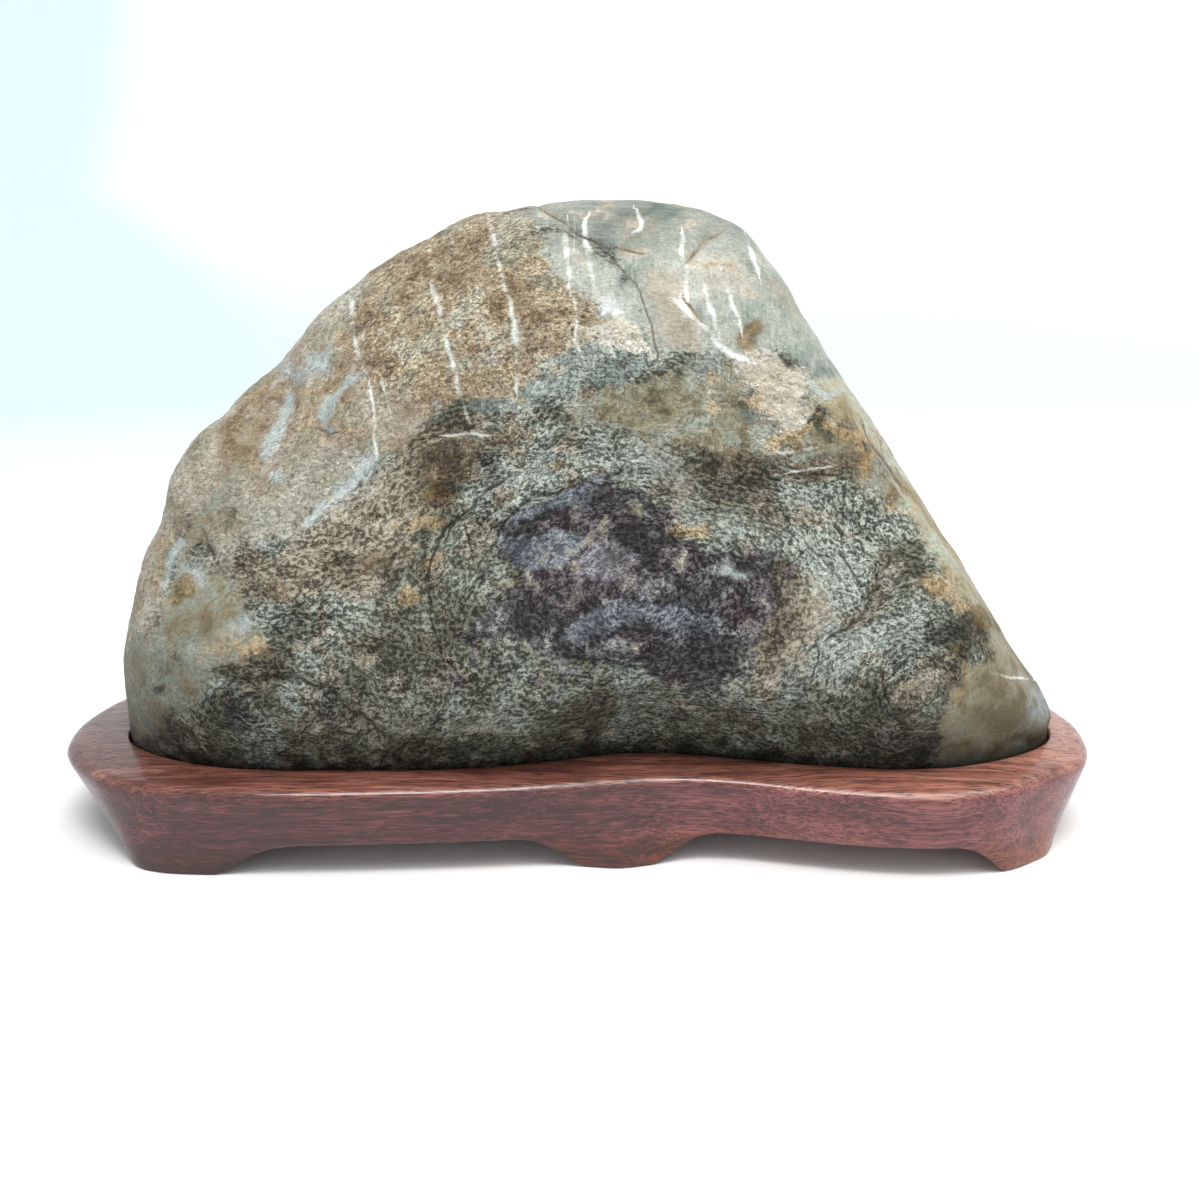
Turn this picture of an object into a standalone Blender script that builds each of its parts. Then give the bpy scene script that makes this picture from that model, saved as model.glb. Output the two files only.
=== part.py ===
"""Scholar's rock: one mountain-shaped stone resting in a one-piece carved wooden stand.

Metres, +Z up. The origin is on the ground under the middle of the stand, +X runs along the
length and the front of the stone faces -Y.
"""
import math

import bmesh
import bpy
import numpy as np
from mathutils import Vector, noise

MM = 0.001

# ---------------------------------------------------------------- stone, in millimetres
HEART = np.array([0.0, 0.0, 80.0])  # the point that the facets are measured from
STONE_BASE = 17.4  # height of the flat that the stone rests on, inside the pocket
CORNER_SHARPNESS = 20.0  # how tightly neighbouring facets meet
STONE_TRIANGLE_SHARE = 0.086  # share of the fine faces kept in the faceted solid
SWELL_SIZE = 26.0  # spacing of the irregular swells that cover the stone
SWELL_HEIGHT = 0.9

# Broad facets: outward direction and distance from the heart
FACETS = {
    "front": ((0.00, -1.00, 0.14), 42.0),
    "front left": ((-0.30, -1.00, 0.26), 58.0),
    "front right": ((0.22, -1.00, 0.26), 52.0),
    "front low": ((0.00, -1.00, -0.50), 56.5),
    "front low left": ((-0.55, -1.00, -0.20), 88.0),
    "front low right": ((0.55, -1.00, -0.30), 95.0),
    "top bevel": ((0.06, -0.80, 0.62), 66.0),
    "top bevel left": ((-0.42, -0.62, 0.70), 76.0),
    "top": ((0.00, 0.03, 1.00), 98.6),
    "top left shoulder": ((-0.36, 0.05, 0.93), 102.5),
    "top right shoulder": ((0.36, 0.00, 0.93), 108.0),
    "left shoulder": ((-0.55, -0.10, 0.83), 101.0),
    "left flank": ((-0.68, -0.10, 0.73), 100.5),
    "left flank low": ((-0.84, -0.10, 0.53), 110.0),
    "left side": ((-0.965, 0.05, 0.26), 124.0),
    "left end": ((-1.00, 0.00, -0.10), 139.5),
    "left front corner": ((-0.80, -0.60, 0.12), 119.0),
    "left back corner": ((-0.72, 0.69, 0.10), 103.0),
    "left back flank": ((-0.60, 0.55, 0.58), 92.0),
    "right shoulder": ((0.80, -0.05, 0.60), 94.5),
    "right flank": ((0.822, -0.20, 0.56), 89.5),
    "right end": ((0.86, -0.04, -0.50), 152.0),
    "right front corner": ((0.62, -0.78, 0.10), 110.0),
    "right back flank": ((0.72, 0.45, 0.50), 90.0),
    "right back corner": ((0.60, 0.80, -0.05), 99.0),
    "back": ((0.03, 1.00, 0.12), 43.0),
    "back left": ((-0.28, 1.00, 0.30), 56.0),
    "back low": ((0.00, 1.00, -0.50), 57.5),
    "back top": ((0.05, 0.75, 0.66), 77.0),
    "underside": ((0.00, 0.00, -1.00), 90.0),
}

# Soft hollows: centre, reach along x, y and z, and depth. A negative depth is a swell.
HOLLOWS = {
    "base recess": ((27, -34, 12), (40, 34, 42), 15.5),
    "skyline notch": ((-84, 0, 133), (9, 60, 7), 2.6),
    "skyline step": ((-101, 0, 119), (6, 60, 6), 1.4),
    "skyline swell": ((-72, 0, 146), (9, 60, 6), -1.2),
    "left knee": ((-120, 0, 92), (12, 60, 14), 2.2),
    "low left bulge": ((-104, -34, 48), (28, 16, 20), -3.0),
    "low swell": ((-30, -44, 52), (44, 20, 24), -1.5),
    "low right swell": ((84, -44, 56), (30, 20, 22), -2.0),
    "upper hollow": ((36, -40, 112), (40, 24, 20), 2.0),
    "upper left hollow": ((-46, -32, 132), (14, 20, 22), 1.6),
    "back hollow": ((-34, 44, 92), (30, 24, 26), 4.0),
    "back right hollow": ((62, 42, 66), (22, 22, 24), 3.0),
    "back swell": ((8, 46, 52), (26, 20, 18), -2.5),
    "top saddle": ((8, 12, 176), (10, 16, 12), 1.2),
}

# Grooves: points along each in the front view (x, z), half width, depth, and the side that has them
GROOVES = {
    "slanting groove": ([(-79, 128), (-89, 110), (-99, 96), (-112, 80)], 4.5, 2.4, "front"),
    "second slanting groove": ([(-66, 132), (-80, 113), (-93, 97)], 4.0, 1.6, "front"),
    "third slanting groove": ([(-58, 112), (-76, 95), (-95, 78)], 4.5, 1.5, "front"),
    "top crack": ([(-9, 174), (4, 167), (13, 160), (18, 149), (21, 139)], 2.6, 1.2, "front"),
    "lens crack": ([(-33, 95), (-38, 86), (-37, 76), (-35, 64)], 3.2, 1.3, "front"),
    "right crack": ([(73, 121), (82, 110), (89, 99)], 3.0, 1.4, "front"),
    "low right crack": ([(83, 84), (77, 74), (66, 65)], 3.2, 1.3, "front"),
    "knot ring": ([(84, 60), (80, 50), (85, 41), (96, 39), (103, 47), (100, 58)], 3.2, 1.3, "front"),
    "back groove": ([(-88, 110), (-60, 84), (-40, 60), (-30, 34)], 4.5, 2.6, "back"),
    "back crack": ([(30, 160), (38, 120), (58, 92), (92, 70)], 3.6, 2.0, "back"),
}

# Ledges: points along each in the front view, reach, depth and side. The stone steps in below it.
LEDGES = {
    "low left ledge": ([(-104, 56), (-93, 55), (-72, 55), (-61, 47)], 14.0, 3.0, "front"),
    "cleft": ([(-104, 92), (-97, 86)], 8.0, 1.8, "front"),
    "middle ledge": ([(36, 114), (54, 110), (70, 101)], 13.0, 1.6, "front"),
    "core ledge": ([(-6, 72), (14, 66), (34, 68), (46, 76)], 13.0, 1.3, "front"),
    "right ledge": ([(96, 66), (110, 62), (118, 55)], 11.0, 1.7, "front"),
    "back ledge": ([(-70, 58), (-20, 50), (34, 54), (80, 44)], 18.0, 3.2, "back"),
}
STEP_WIDTH = 3.0  # how quickly a ledge steps in

# ---------------------------------------------------------------- stand, in millimetres
STAND_HEIGHT = 25.4
APRON_HEIGHT = 8.8  # underside of the stand between its feet
POCKET_FLOOR = 17.0
POCKET_GAP = 1.1  # between the stone and the pocket wall
RIM_CROWN = 0.9  # how far the rim rises from its outer edge to the pocket

# Matching points of two outlines, anticlockwise from the right end when seen from below: the
# widest line, at the rim's outer edge (x, y), and the ground line that the feet follow (x, y)
OUTLINES = [
    (151.4, -1.5, 138.0, -1.5), (149.2, -15.5, 138.0, -14.0), (144.5, -26.0, 136.8, -26.0),
    (137.0, -33.8, 133.4, -35.5), (126.7, -41.4, 127.5, -41.0), (113.5, -48.6, 117.5, -46.8),
    (99.3, -51.8, 101.0, -49.8), (86.2, -51.4, 86.2, -49.4), (73.3, -49.6, 73.3, -47.6),
    (60.4, -46.6, 60.4, -44.8), (47.4, -43.1, 47.4, -42.0), (34.0, -40.9, 34.0, -41.0),
    (23.1, -40.6, 23.1, -42.6), (12.2, -41.8, 12.2, -45.0), (1.3, -43.7, 1.3, -44.0),
    (-9.5, -45.6, -9.5, -44.2), (-22.0, -47.4, -22.0, -45.0), (-38.0, -48.9, -38.0, -46.2),
    (-55.0, -49.9, -55.0, -47.2), (-73.0, -50.7, -73.0, -48.0), (-91.0, -50.2, -91.0, -48.6),
    (-107.0, -48.2, -104.0, -48.6), (-120.3, -44.6, -114.5, -47.2), (-130.3, -39.4, -121.5, -43.6),
    (-139.0, -31.2, -125.6, -35.6), (-145.5, -23.0, -127.0, -26.0), (-149.6, -14.0, -127.4, -15.0),
    (-151.5, -2.0, -127.4, -2.0), (-150.4, 10.0, -127.0, 11.0), (-147.0, 21.5, -126.0, 22.0),
    (-140.0, 31.6, -124.0, 31.6), (-128.5, 40.0, -118.0, 38.8), (-112.0, 46.4, -108.0, 44.0),
    (-91.0, 49.8, -91.0, 47.2), (-66.0, 51.6, -66.0, 49.0), (-40.0, 51.0, -40.0, 48.6),
    (-14.0, 48.0, -14.0, 46.0), (10.0, 46.4, 10.0, 45.6), (34.0, 47.2, 34.0, 45.8),
    (60.0, 50.4, 60.0, 48.2), (84.0, 51.8, 84.0, 49.4), (107.0, 49.2, 106.0, 47.0),
    (126.0, 42.6, 123.6, 41.0), (139.6, 31.8, 133.6, 32.0), (147.4, 19.6, 137.6, 19.8),
    (150.4, 8.0, 138.2, 8.6),
]
POINTS_PER_SPAN = 3
# Height and share of the way from the widest line to the ground line
WALL_PROFILE = [(0.0, 1.0), (3.5, 0.85), (8.0, 0.62), (12.5, 0.39), (17.0, 0.19), (21.5, 0.05)]
# Height and distance in from the widest line, over the rounded outer edge of the rim
EDGE_PROFILE = [(23.6, 0.0), (24.9, 0.7), (25.4, 2.2)]

# Arches between the feet as seen from the front: (x, z) from foot to foot
FRONT_ARCHES = {
    "left arch": [
        (-97.5, -2.0), (-97.5, 0.6), (-92.0, 3.6), (-87.5, 6.2), (-82.0, 8.1),
        (-75.0, APRON_HEIGHT), (-14.0, APRON_HEIGHT), (-8.4, 6.9), (-4.3, 4.2), (-0.5, 1.6),
        (1.6, 0.4), (1.6, -2.0),
    ],
    "right arch": [
        (21.6, -2.0), (21.6, 0.4), (24.4, 1.6), (28.7, 4.6), (32.8, 7.4),
        (38.2, APRON_HEIGHT), (104.0, APRON_HEIGHT), (108.6, 7.4), (112.0, 5.0), (115.0, 2.4),
        (116.4, 0.6), (116.4, -2.0),
    ],
}
# Arch between the front and the back feet as seen from the side: (y, z)
SIDE_ARCH = [
    (-27.0, -2.0), (-27.0, 0.5), (-24.6, 2.8), (-21.0, 6.0), (-15.5, APRON_HEIGHT),
    (15.5, APRON_HEIGHT), (21.0, 6.0), (24.6, 2.8), (27.0, 0.5), (27.0, -2.0),
]


def clear_scene():
    for obj in list(bpy.data.objects):
        bpy.data.objects.remove(obj, do_unlink=True)
    for collection in list(bpy.data.collections):
        bpy.data.collections.remove(collection)


def new_collection(name):
    collection = bpy.data.collections.new(name)
    bpy.context.scene.collection.children.link(collection)
    return collection


def new_material(name, colour, roughness):
    material = bpy.data.materials.new(name)
    material.use_nodes = True
    shader = material.node_tree.nodes["Principled BSDF"]
    shader.inputs["Base Color"].default_value = colour
    shader.inputs["Roughness"].default_value = roughness
    shader.inputs["Metallic"].default_value = 0.0
    material.diffuse_color = colour
    return material


def stone_material():
    return new_material("serpentine_stone", (0.20, 0.19, 0.14, 1.0), 0.62)


def wood_material():
    return new_material("rosewood", (0.20, 0.075, 0.045, 1.0), 0.38)


def link_mesh(bm, name, collection):
    mesh = bpy.data.meshes.new(name)
    bm.to_mesh(mesh)
    bm.free()
    obj = bpy.data.objects.new(name, mesh)
    collection.objects.link(obj)
    return obj


def facet_surface(directions):
    """Distance from the heart to the body that all the facets bound, with softened corners."""
    normals = np.array([facet[0] for facet in FACETS.values()])
    normals /= np.linalg.norm(normals, axis=1)[:, None]
    distances = np.array([facet[1] for facet in FACETS.values()])
    reach = np.clip(directions @ normals.T / distances, 0.0, None)
    most = reach.max(axis=1)
    blend = ((reach / most[:, None]) ** CORNER_SHARPNESS).sum(axis=1)
    return 1.0 / (most * blend ** (1.0 / CORNER_SHARPNESS))


def line_distance(points, line):
    """Distance from each point to the line in the front view, and how far below the line it is."""
    nearest = np.full(len(points), 1e9)
    below = np.zeros(len(points))
    for (ax, az), (bx, bz) in zip(line, line[1:]):
        along = np.array([bx - ax, bz - az], float)
        length = np.linalg.norm(along)
        along /= length
        offset = points[:, [0, 2]] - np.array([ax, az], float)
        travel = np.clip(offset @ along, 0.0, length)
        gap = offset - travel[:, None] * along
        distance = np.linalg.norm(gap, axis=1)
        side = offset[:, 0] * along[1] - offset[:, 1] * along[0]
        closer = distance < nearest
        nearest = np.where(closer, distance, nearest)
        below = np.where(closer, side, below)
    return nearest, below


def on_side(points, side):
    """1 on the named side of the stone, fading to 0 around its ends."""
    sign = -1.0 if side == "front" else 1.0
    return np.clip(sign * points[:, 1] / 12.0, 0.0, 1.0)


def carving_depth(points):
    """How far the hollows, grooves and ledges take the surface in."""
    depth = np.zeros(len(points))
    for centre, reach, amount in HOLLOWS.values():
        offset = (points - np.array(centre, float)) / np.array(reach, float)
        depth += amount * np.exp(-(offset**2).sum(axis=1))
    for line, width, amount, side in GROOVES.values():
        distance, _ = line_distance(points, line)
        depth += amount * np.exp(-((distance / width) ** 2)) * on_side(points, side)
    for line, reach, amount, side in LEDGES.values():
        distance, below = line_distance(points, line)
        step = np.clip(below / STEP_WIDTH + 0.5, 0.0, 1.0)
        depth += amount * step * np.exp(-((distance / reach) ** 2)) * on_side(points, side)
    return depth


def swell_height(point):
    at = Vector(point) / SWELL_SIZE
    coarse = noise.noise(at + Vector((3.1, 7.7, 1.9)))
    fine = noise.noise(at * 2.3 + Vector((9.4, 2.6, 5.2)))
    return SWELL_HEIGHT * (coarse + 0.6 * fine)


def build_stone(collection, material):
    """A fine sphere drawn out to the facets, carved, cut flat underneath and then faceted."""
    bm = bmesh.new()
    bmesh.ops.create_icosphere(bm, subdivisions=7, radius=1.0)
    directions = np.array([vert.co[:] for vert in bm.verts])
    directions *= np.array([140.0, 52.0, 84.0])
    directions /= np.linalg.norm(directions, axis=1)[:, None]
    points = HEART + directions * facet_surface(directions)[:, None]
    depth = carving_depth(points)
    for vert, point, direction, inward in zip(bm.verts, points, directions, depth):
        outward = swell_height(point) - inward
        vert.co = Vector(point + direction * outward) * MM
    cut = bmesh.ops.bisect_plane(
        bm,
        geom=bm.verts[:] + bm.edges[:] + bm.faces[:],
        plane_co=(0.0, 0.0, STONE_BASE * MM),
        plane_no=(0.0, 0.0, -1.0),
        clear_outer=True,
    )
    rim = [item for item in cut["geom_cut"] if isinstance(item, bmesh.types.BMEdge)]
    bmesh.ops.contextual_create(bm, geom=rim)
    bmesh.ops.triangulate(bm, faces=[face for face in bm.faces if len(face.verts) > 3])
    face_outward(bm)
    stone = link_mesh(bm, "stone", collection)
    decimate = stone.modifiers.new("facets", "DECIMATE")
    decimate.decimate_type = "COLLAPSE"
    decimate.ratio = STONE_TRIANGLE_SHARE
    decimate.use_collapse_triangulate = True
    stone.data.materials.append(material)
    return stone


def stone_sections(stone):
    """The stone's outlines at heights inside the pocket, each as a list of edges in plan."""
    graph = bpy.context.evaluated_depsgraph_get()
    sections = []
    for height in (STONE_BASE + 0.1, 19.5, 21.5, 23.5, 25.5, STAND_HEIGHT + RIM_CROWN + 0.4):
        bm = bmesh.new()
        bm.from_object(stone, graph)
        cut = bmesh.ops.bisect_plane(
            bm,
            geom=bm.verts[:] + bm.edges[:] + bm.faces[:],
            plane_co=(0.0, 0.0, height * MM),
            plane_no=(0.0, 0.0, 1.0),
            clear_inner=True,
        )
        for item in cut["geom_cut"]:
            if isinstance(item, bmesh.types.BMEdge):
                first, second = item.verts
                sections.append((first.co.xy / MM, second.co.xy / MM))
        bm.free()
    return sections


def smooth_outline(corners):
    """Points along a smooth closed curve through the corners, a few for each span."""
    points = []
    total = len(corners)
    for i in range(total):
        p0, p1, p2, p3 = [np.array(corners[(i + k) % total], float) for k in (-1, 0, 1, 2)]
        for t in np.linspace(0.0, 1.0, POINTS_PER_SPAN, endpoint=False):
            points.append(
                0.5
                * (
                    2 * p1
                    + (p2 - p0) * t
                    + (2 * p0 - 5 * p1 + 4 * p2 - p3) * t**2
                    + (3 * p1 - p0 - 3 * p2 + p3) * t**3
                )
            )
    return np.array(points)


def outline_normals(outline):
    """Unit directions pointing out of the outline."""
    along = np.roll(outline, -1, axis=0) - np.roll(outline, 1, axis=0)
    along /= np.linalg.norm(along, axis=1)[:, None]
    out = np.stack([along[:, 1], -along[:, 0]], axis=1)
    facing_out = ((out * outline).sum(axis=1) > 0).mean() > 0.5
    return out if facing_out else -out


def pocket_outline(outline, sections):
    """The pocket's wall: the stone's widest outline in the pocket with an even gap around it."""
    starts = np.array([section[0] for section in sections])
    steps = np.array([section[1] for section in sections]) - starts
    anchors = np.stack([np.clip(outline[:, 0], -98.0, 98.0), np.zeros(len(outline))], axis=1)
    toward = outline - anchors
    toward /= np.linalg.norm(toward, axis=1)[:, None]
    reach = []
    for anchor, ray in zip(anchors, toward):
        offset = starts - anchor
        cross = ray[0] * steps[:, 1] - ray[1] * steps[:, 0]
        cross = np.where(np.abs(cross) < 1e-9, 1e-9, cross)
        along_ray = (offset[:, 0] * steps[:, 1] - offset[:, 1] * steps[:, 0]) / cross
        along_edge = (offset[:, 0] * ray[1] - offset[:, 1] * ray[0]) / cross
        met = (along_edge >= -1e-6) & (along_edge <= 1 + 1e-6) & (along_ray > 0)
        reach.append(along_ray[met].max())
    reach = np.array(reach)
    widest = np.maximum(reach, np.maximum(np.roll(reach, 1), np.roll(reach, -1)))
    smooth = (widest + np.roll(widest, 1) + np.roll(widest, -1)) / 3.0
    return anchors + toward * (np.maximum(smooth, reach) + POCKET_GAP)[:, None]


def stand_rings(outline, ground, pocket):
    """Closed rings of points from the ground, up over the rim and down to the pocket floor."""
    out = outline_normals(outline)
    rings = []
    for height, share in WALL_PROFILE:
        rings.append((outline + (ground - outline) * share, height))
    for height, inward in EDGE_PROFILE:
        rings.append((outline - out * inward, height))
    outer = outline - out * EDGE_PROFILE[-1][1]
    rings.append((outer * 0.5 + pocket * 0.5, STAND_HEIGHT + RIM_CROWN * 0.75))
    lip = pocket - outer
    lip /= np.linalg.norm(lip, axis=1)[:, None]
    rings.append((pocket - lip * 0.9, STAND_HEIGHT + RIM_CROWN))
    rings.append((pocket, STAND_HEIGHT + RIM_CROWN - 0.7))
    rings.append((pocket, POCKET_FLOOR))
    return rings


def face_outward(bm):
    """Turn every face of a closed body outward."""
    bmesh.ops.recalc_face_normals(bm, faces=bm.faces[:])
    if bm.calc_volume(signed=True) < 0:
        bmesh.ops.reverse_faces(bm, faces=bm.faces[:])


def loft(bm, rings):
    """Skin the rings in order and close both ends."""
    loops = []
    for plan, height in rings:
        loops.append([bm.verts.new((x * MM, y * MM, height * MM)) for x, y in plan])
    for lower, upper in zip(loops, loops[1:]):
        for i in range(len(lower)):
            j = (i + 1) % len(lower)
            bm.faces.new((lower[i], lower[j], upper[j], upper[i]))
    bm.faces.new(loops[0])
    bm.faces.new(loops[-1])
    face_outward(bm)


def flat_outline_solid(name, profile, reach, rotation):
    """A mesh solid drawn both ways from a flat outline, with its caps welded on."""
    curve = bpy.data.curves.new(name, "CURVE")
    curve.dimensions = "2D"
    curve.fill_mode = "BOTH"
    curve.extrude = reach * MM
    spline = curve.splines.new("POLY")
    spline.points.add(len(profile) - 1)
    for point, (a, b) in zip(spline.points, profile):
        point.co = (a * MM, b * MM, 0.0, 1.0)
    spline.use_cyclic_u = True
    guide = bpy.data.objects.new(name + " outline", curve)
    guide.rotation_euler = rotation
    bpy.context.scene.collection.objects.link(guide)
    bpy.context.view_layer.update()
    graph = bpy.context.evaluated_depsgraph_get()
    mesh = bpy.data.meshes.new_from_object(guide.evaluated_get(graph))
    placed = guide.matrix_world.copy()
    bpy.data.objects.remove(guide, do_unlink=True)
    bm = bmesh.new()
    bm.from_mesh(mesh)
    bmesh.ops.remove_doubles(bm, verts=bm.verts[:], dist=0.00001)
    face_outward(bm)
    bm.to_mesh(mesh)
    bm.free()
    solid = bpy.data.objects.new(name, mesh)
    solid.matrix_world = placed
    return solid


def add_cutter(stand, name, profile, reach, rotation, cutters):
    cutter = flat_outline_solid(name, profile, reach, rotation)
    cutters.objects.link(cutter)
    cutter.hide_render = True
    cutter.display_type = "WIRE"
    boolean = stand.modifiers.new(name, "BOOLEAN")
    boolean.operation = "DIFFERENCE"
    boolean.solver = "EXACT"
    boolean.object = cutter


def build_stand(collection, cutters, material, sections):
    """One carved block: a flared wall, a crowned rim, a pocket, and feet left between arches."""
    outline = smooth_outline([corner[:2] for corner in OUTLINES])
    ground = smooth_outline([corner[2:] for corner in OUTLINES])
    pocket = pocket_outline(outline, sections)
    bm = bmesh.new()
    loft(bm, stand_rings(outline, ground, pocket))
    stand = link_mesh(bm, "stand", collection)
    along_y = (math.pi / 2, 0.0, 0.0)
    along_x = (math.pi / 2, 0.0, math.pi / 2)
    for name, profile in FRONT_ARCHES.items():
        add_cutter(stand, name, profile, 70.0, along_y, cutters)
    add_cutter(stand, "side arch", SIDE_ARCH, 170.0, along_x, cutters)
    stand.data.materials.append(material)
    return stand


def main():
    clear_scene()
    collection = new_collection("scholars_rock")
    cutters = new_collection("cutters")
    stone = build_stone(collection, stone_material())
    bpy.context.view_layer.update()
    sections = stone_sections(stone)
    build_stand(collection, cutters, wood_material(), sections)
    cutters.hide_render = True


main()
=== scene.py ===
"""Looks for the scholar's rock: a veined stone in its carved stand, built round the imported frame."""

import math

import bmesh
import bpy
import numpy as np
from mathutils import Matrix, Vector
from mathutils.bvhtree import BVHTree


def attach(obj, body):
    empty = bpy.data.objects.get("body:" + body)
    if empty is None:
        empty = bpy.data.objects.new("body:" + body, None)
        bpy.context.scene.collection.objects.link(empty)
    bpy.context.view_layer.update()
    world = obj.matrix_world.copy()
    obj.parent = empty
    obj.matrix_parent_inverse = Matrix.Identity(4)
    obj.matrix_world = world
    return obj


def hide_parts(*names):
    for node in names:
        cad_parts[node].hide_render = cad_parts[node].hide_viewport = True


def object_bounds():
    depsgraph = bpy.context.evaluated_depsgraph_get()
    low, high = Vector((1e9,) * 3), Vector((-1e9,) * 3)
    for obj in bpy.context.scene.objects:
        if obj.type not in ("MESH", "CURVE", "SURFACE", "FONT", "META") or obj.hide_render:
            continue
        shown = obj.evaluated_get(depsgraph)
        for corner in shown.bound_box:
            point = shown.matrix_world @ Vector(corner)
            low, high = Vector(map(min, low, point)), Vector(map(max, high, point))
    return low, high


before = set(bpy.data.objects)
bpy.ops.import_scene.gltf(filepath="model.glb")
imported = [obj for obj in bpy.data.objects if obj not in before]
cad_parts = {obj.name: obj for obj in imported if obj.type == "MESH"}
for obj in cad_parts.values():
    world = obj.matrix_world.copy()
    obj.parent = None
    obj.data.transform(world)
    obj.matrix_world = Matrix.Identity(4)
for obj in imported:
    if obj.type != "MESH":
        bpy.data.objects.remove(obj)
packed_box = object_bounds()

MM = 0.001

# -------- the reference view
# Marks on the stone are placed by picture coordinates in this view (1200 across, down from the top)
PICTURE = 1200
VIEW_FROM = np.array([6.7, -368.0, 171.0])  # millimetres
VIEW_DOWN = math.radians(16.2)
VIEW_LENS = 39.0
SENSOR = 36.0
FOCAL = VIEW_LENS / SENSOR * PICTURE
PICTURE_MM = 0.27  # size of one picture unit on the stone's face

# -------- stone
STONE_SPACING = 0.98  # millimetres between the fine mesh's points
FACET_SOFTENING = 14
FOLD_LINE = 10.0  # marks are mirrored behind this y, because the reference view ends there
DRIFT_REACH = 34.0  # how far behind the line their sideways and upward drift is full
DRIFT_ASIDE, DRIFT_UP = -24.0, 7.0
WANDER_BEHIND = 55.0  # picture units by which the marks wander at the back
FIELD_NOISES = ((4.0, 61), (8.0, 71), (17.0, 81))  # clumps, tints and clouds: size and seed
STAND_TOP = (27.0, 34.0)  # heights between which the relief begins above the stand
# How the marks' edges wander: by how many picture units, then size, seed and octaves of the noise
EDGE_WANDERS = [(6.0, 15.0, 11, 3), (3.0, 4.0, 13, 2)]
BED_STEP, FINE_BED_STEP = 5.2, 1.9  # from one bed to the next
BED_BLEND = 6.0  # how gently the beds round one core run into the next core's
BED_LEAN = 0.35  # how far the beds lean back
CRACK_GROOVE = (2.6, 0.75)  # half width in picture units and depth in millimetres
VEIN_RIDGE = (3.0, 0.12)

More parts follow.
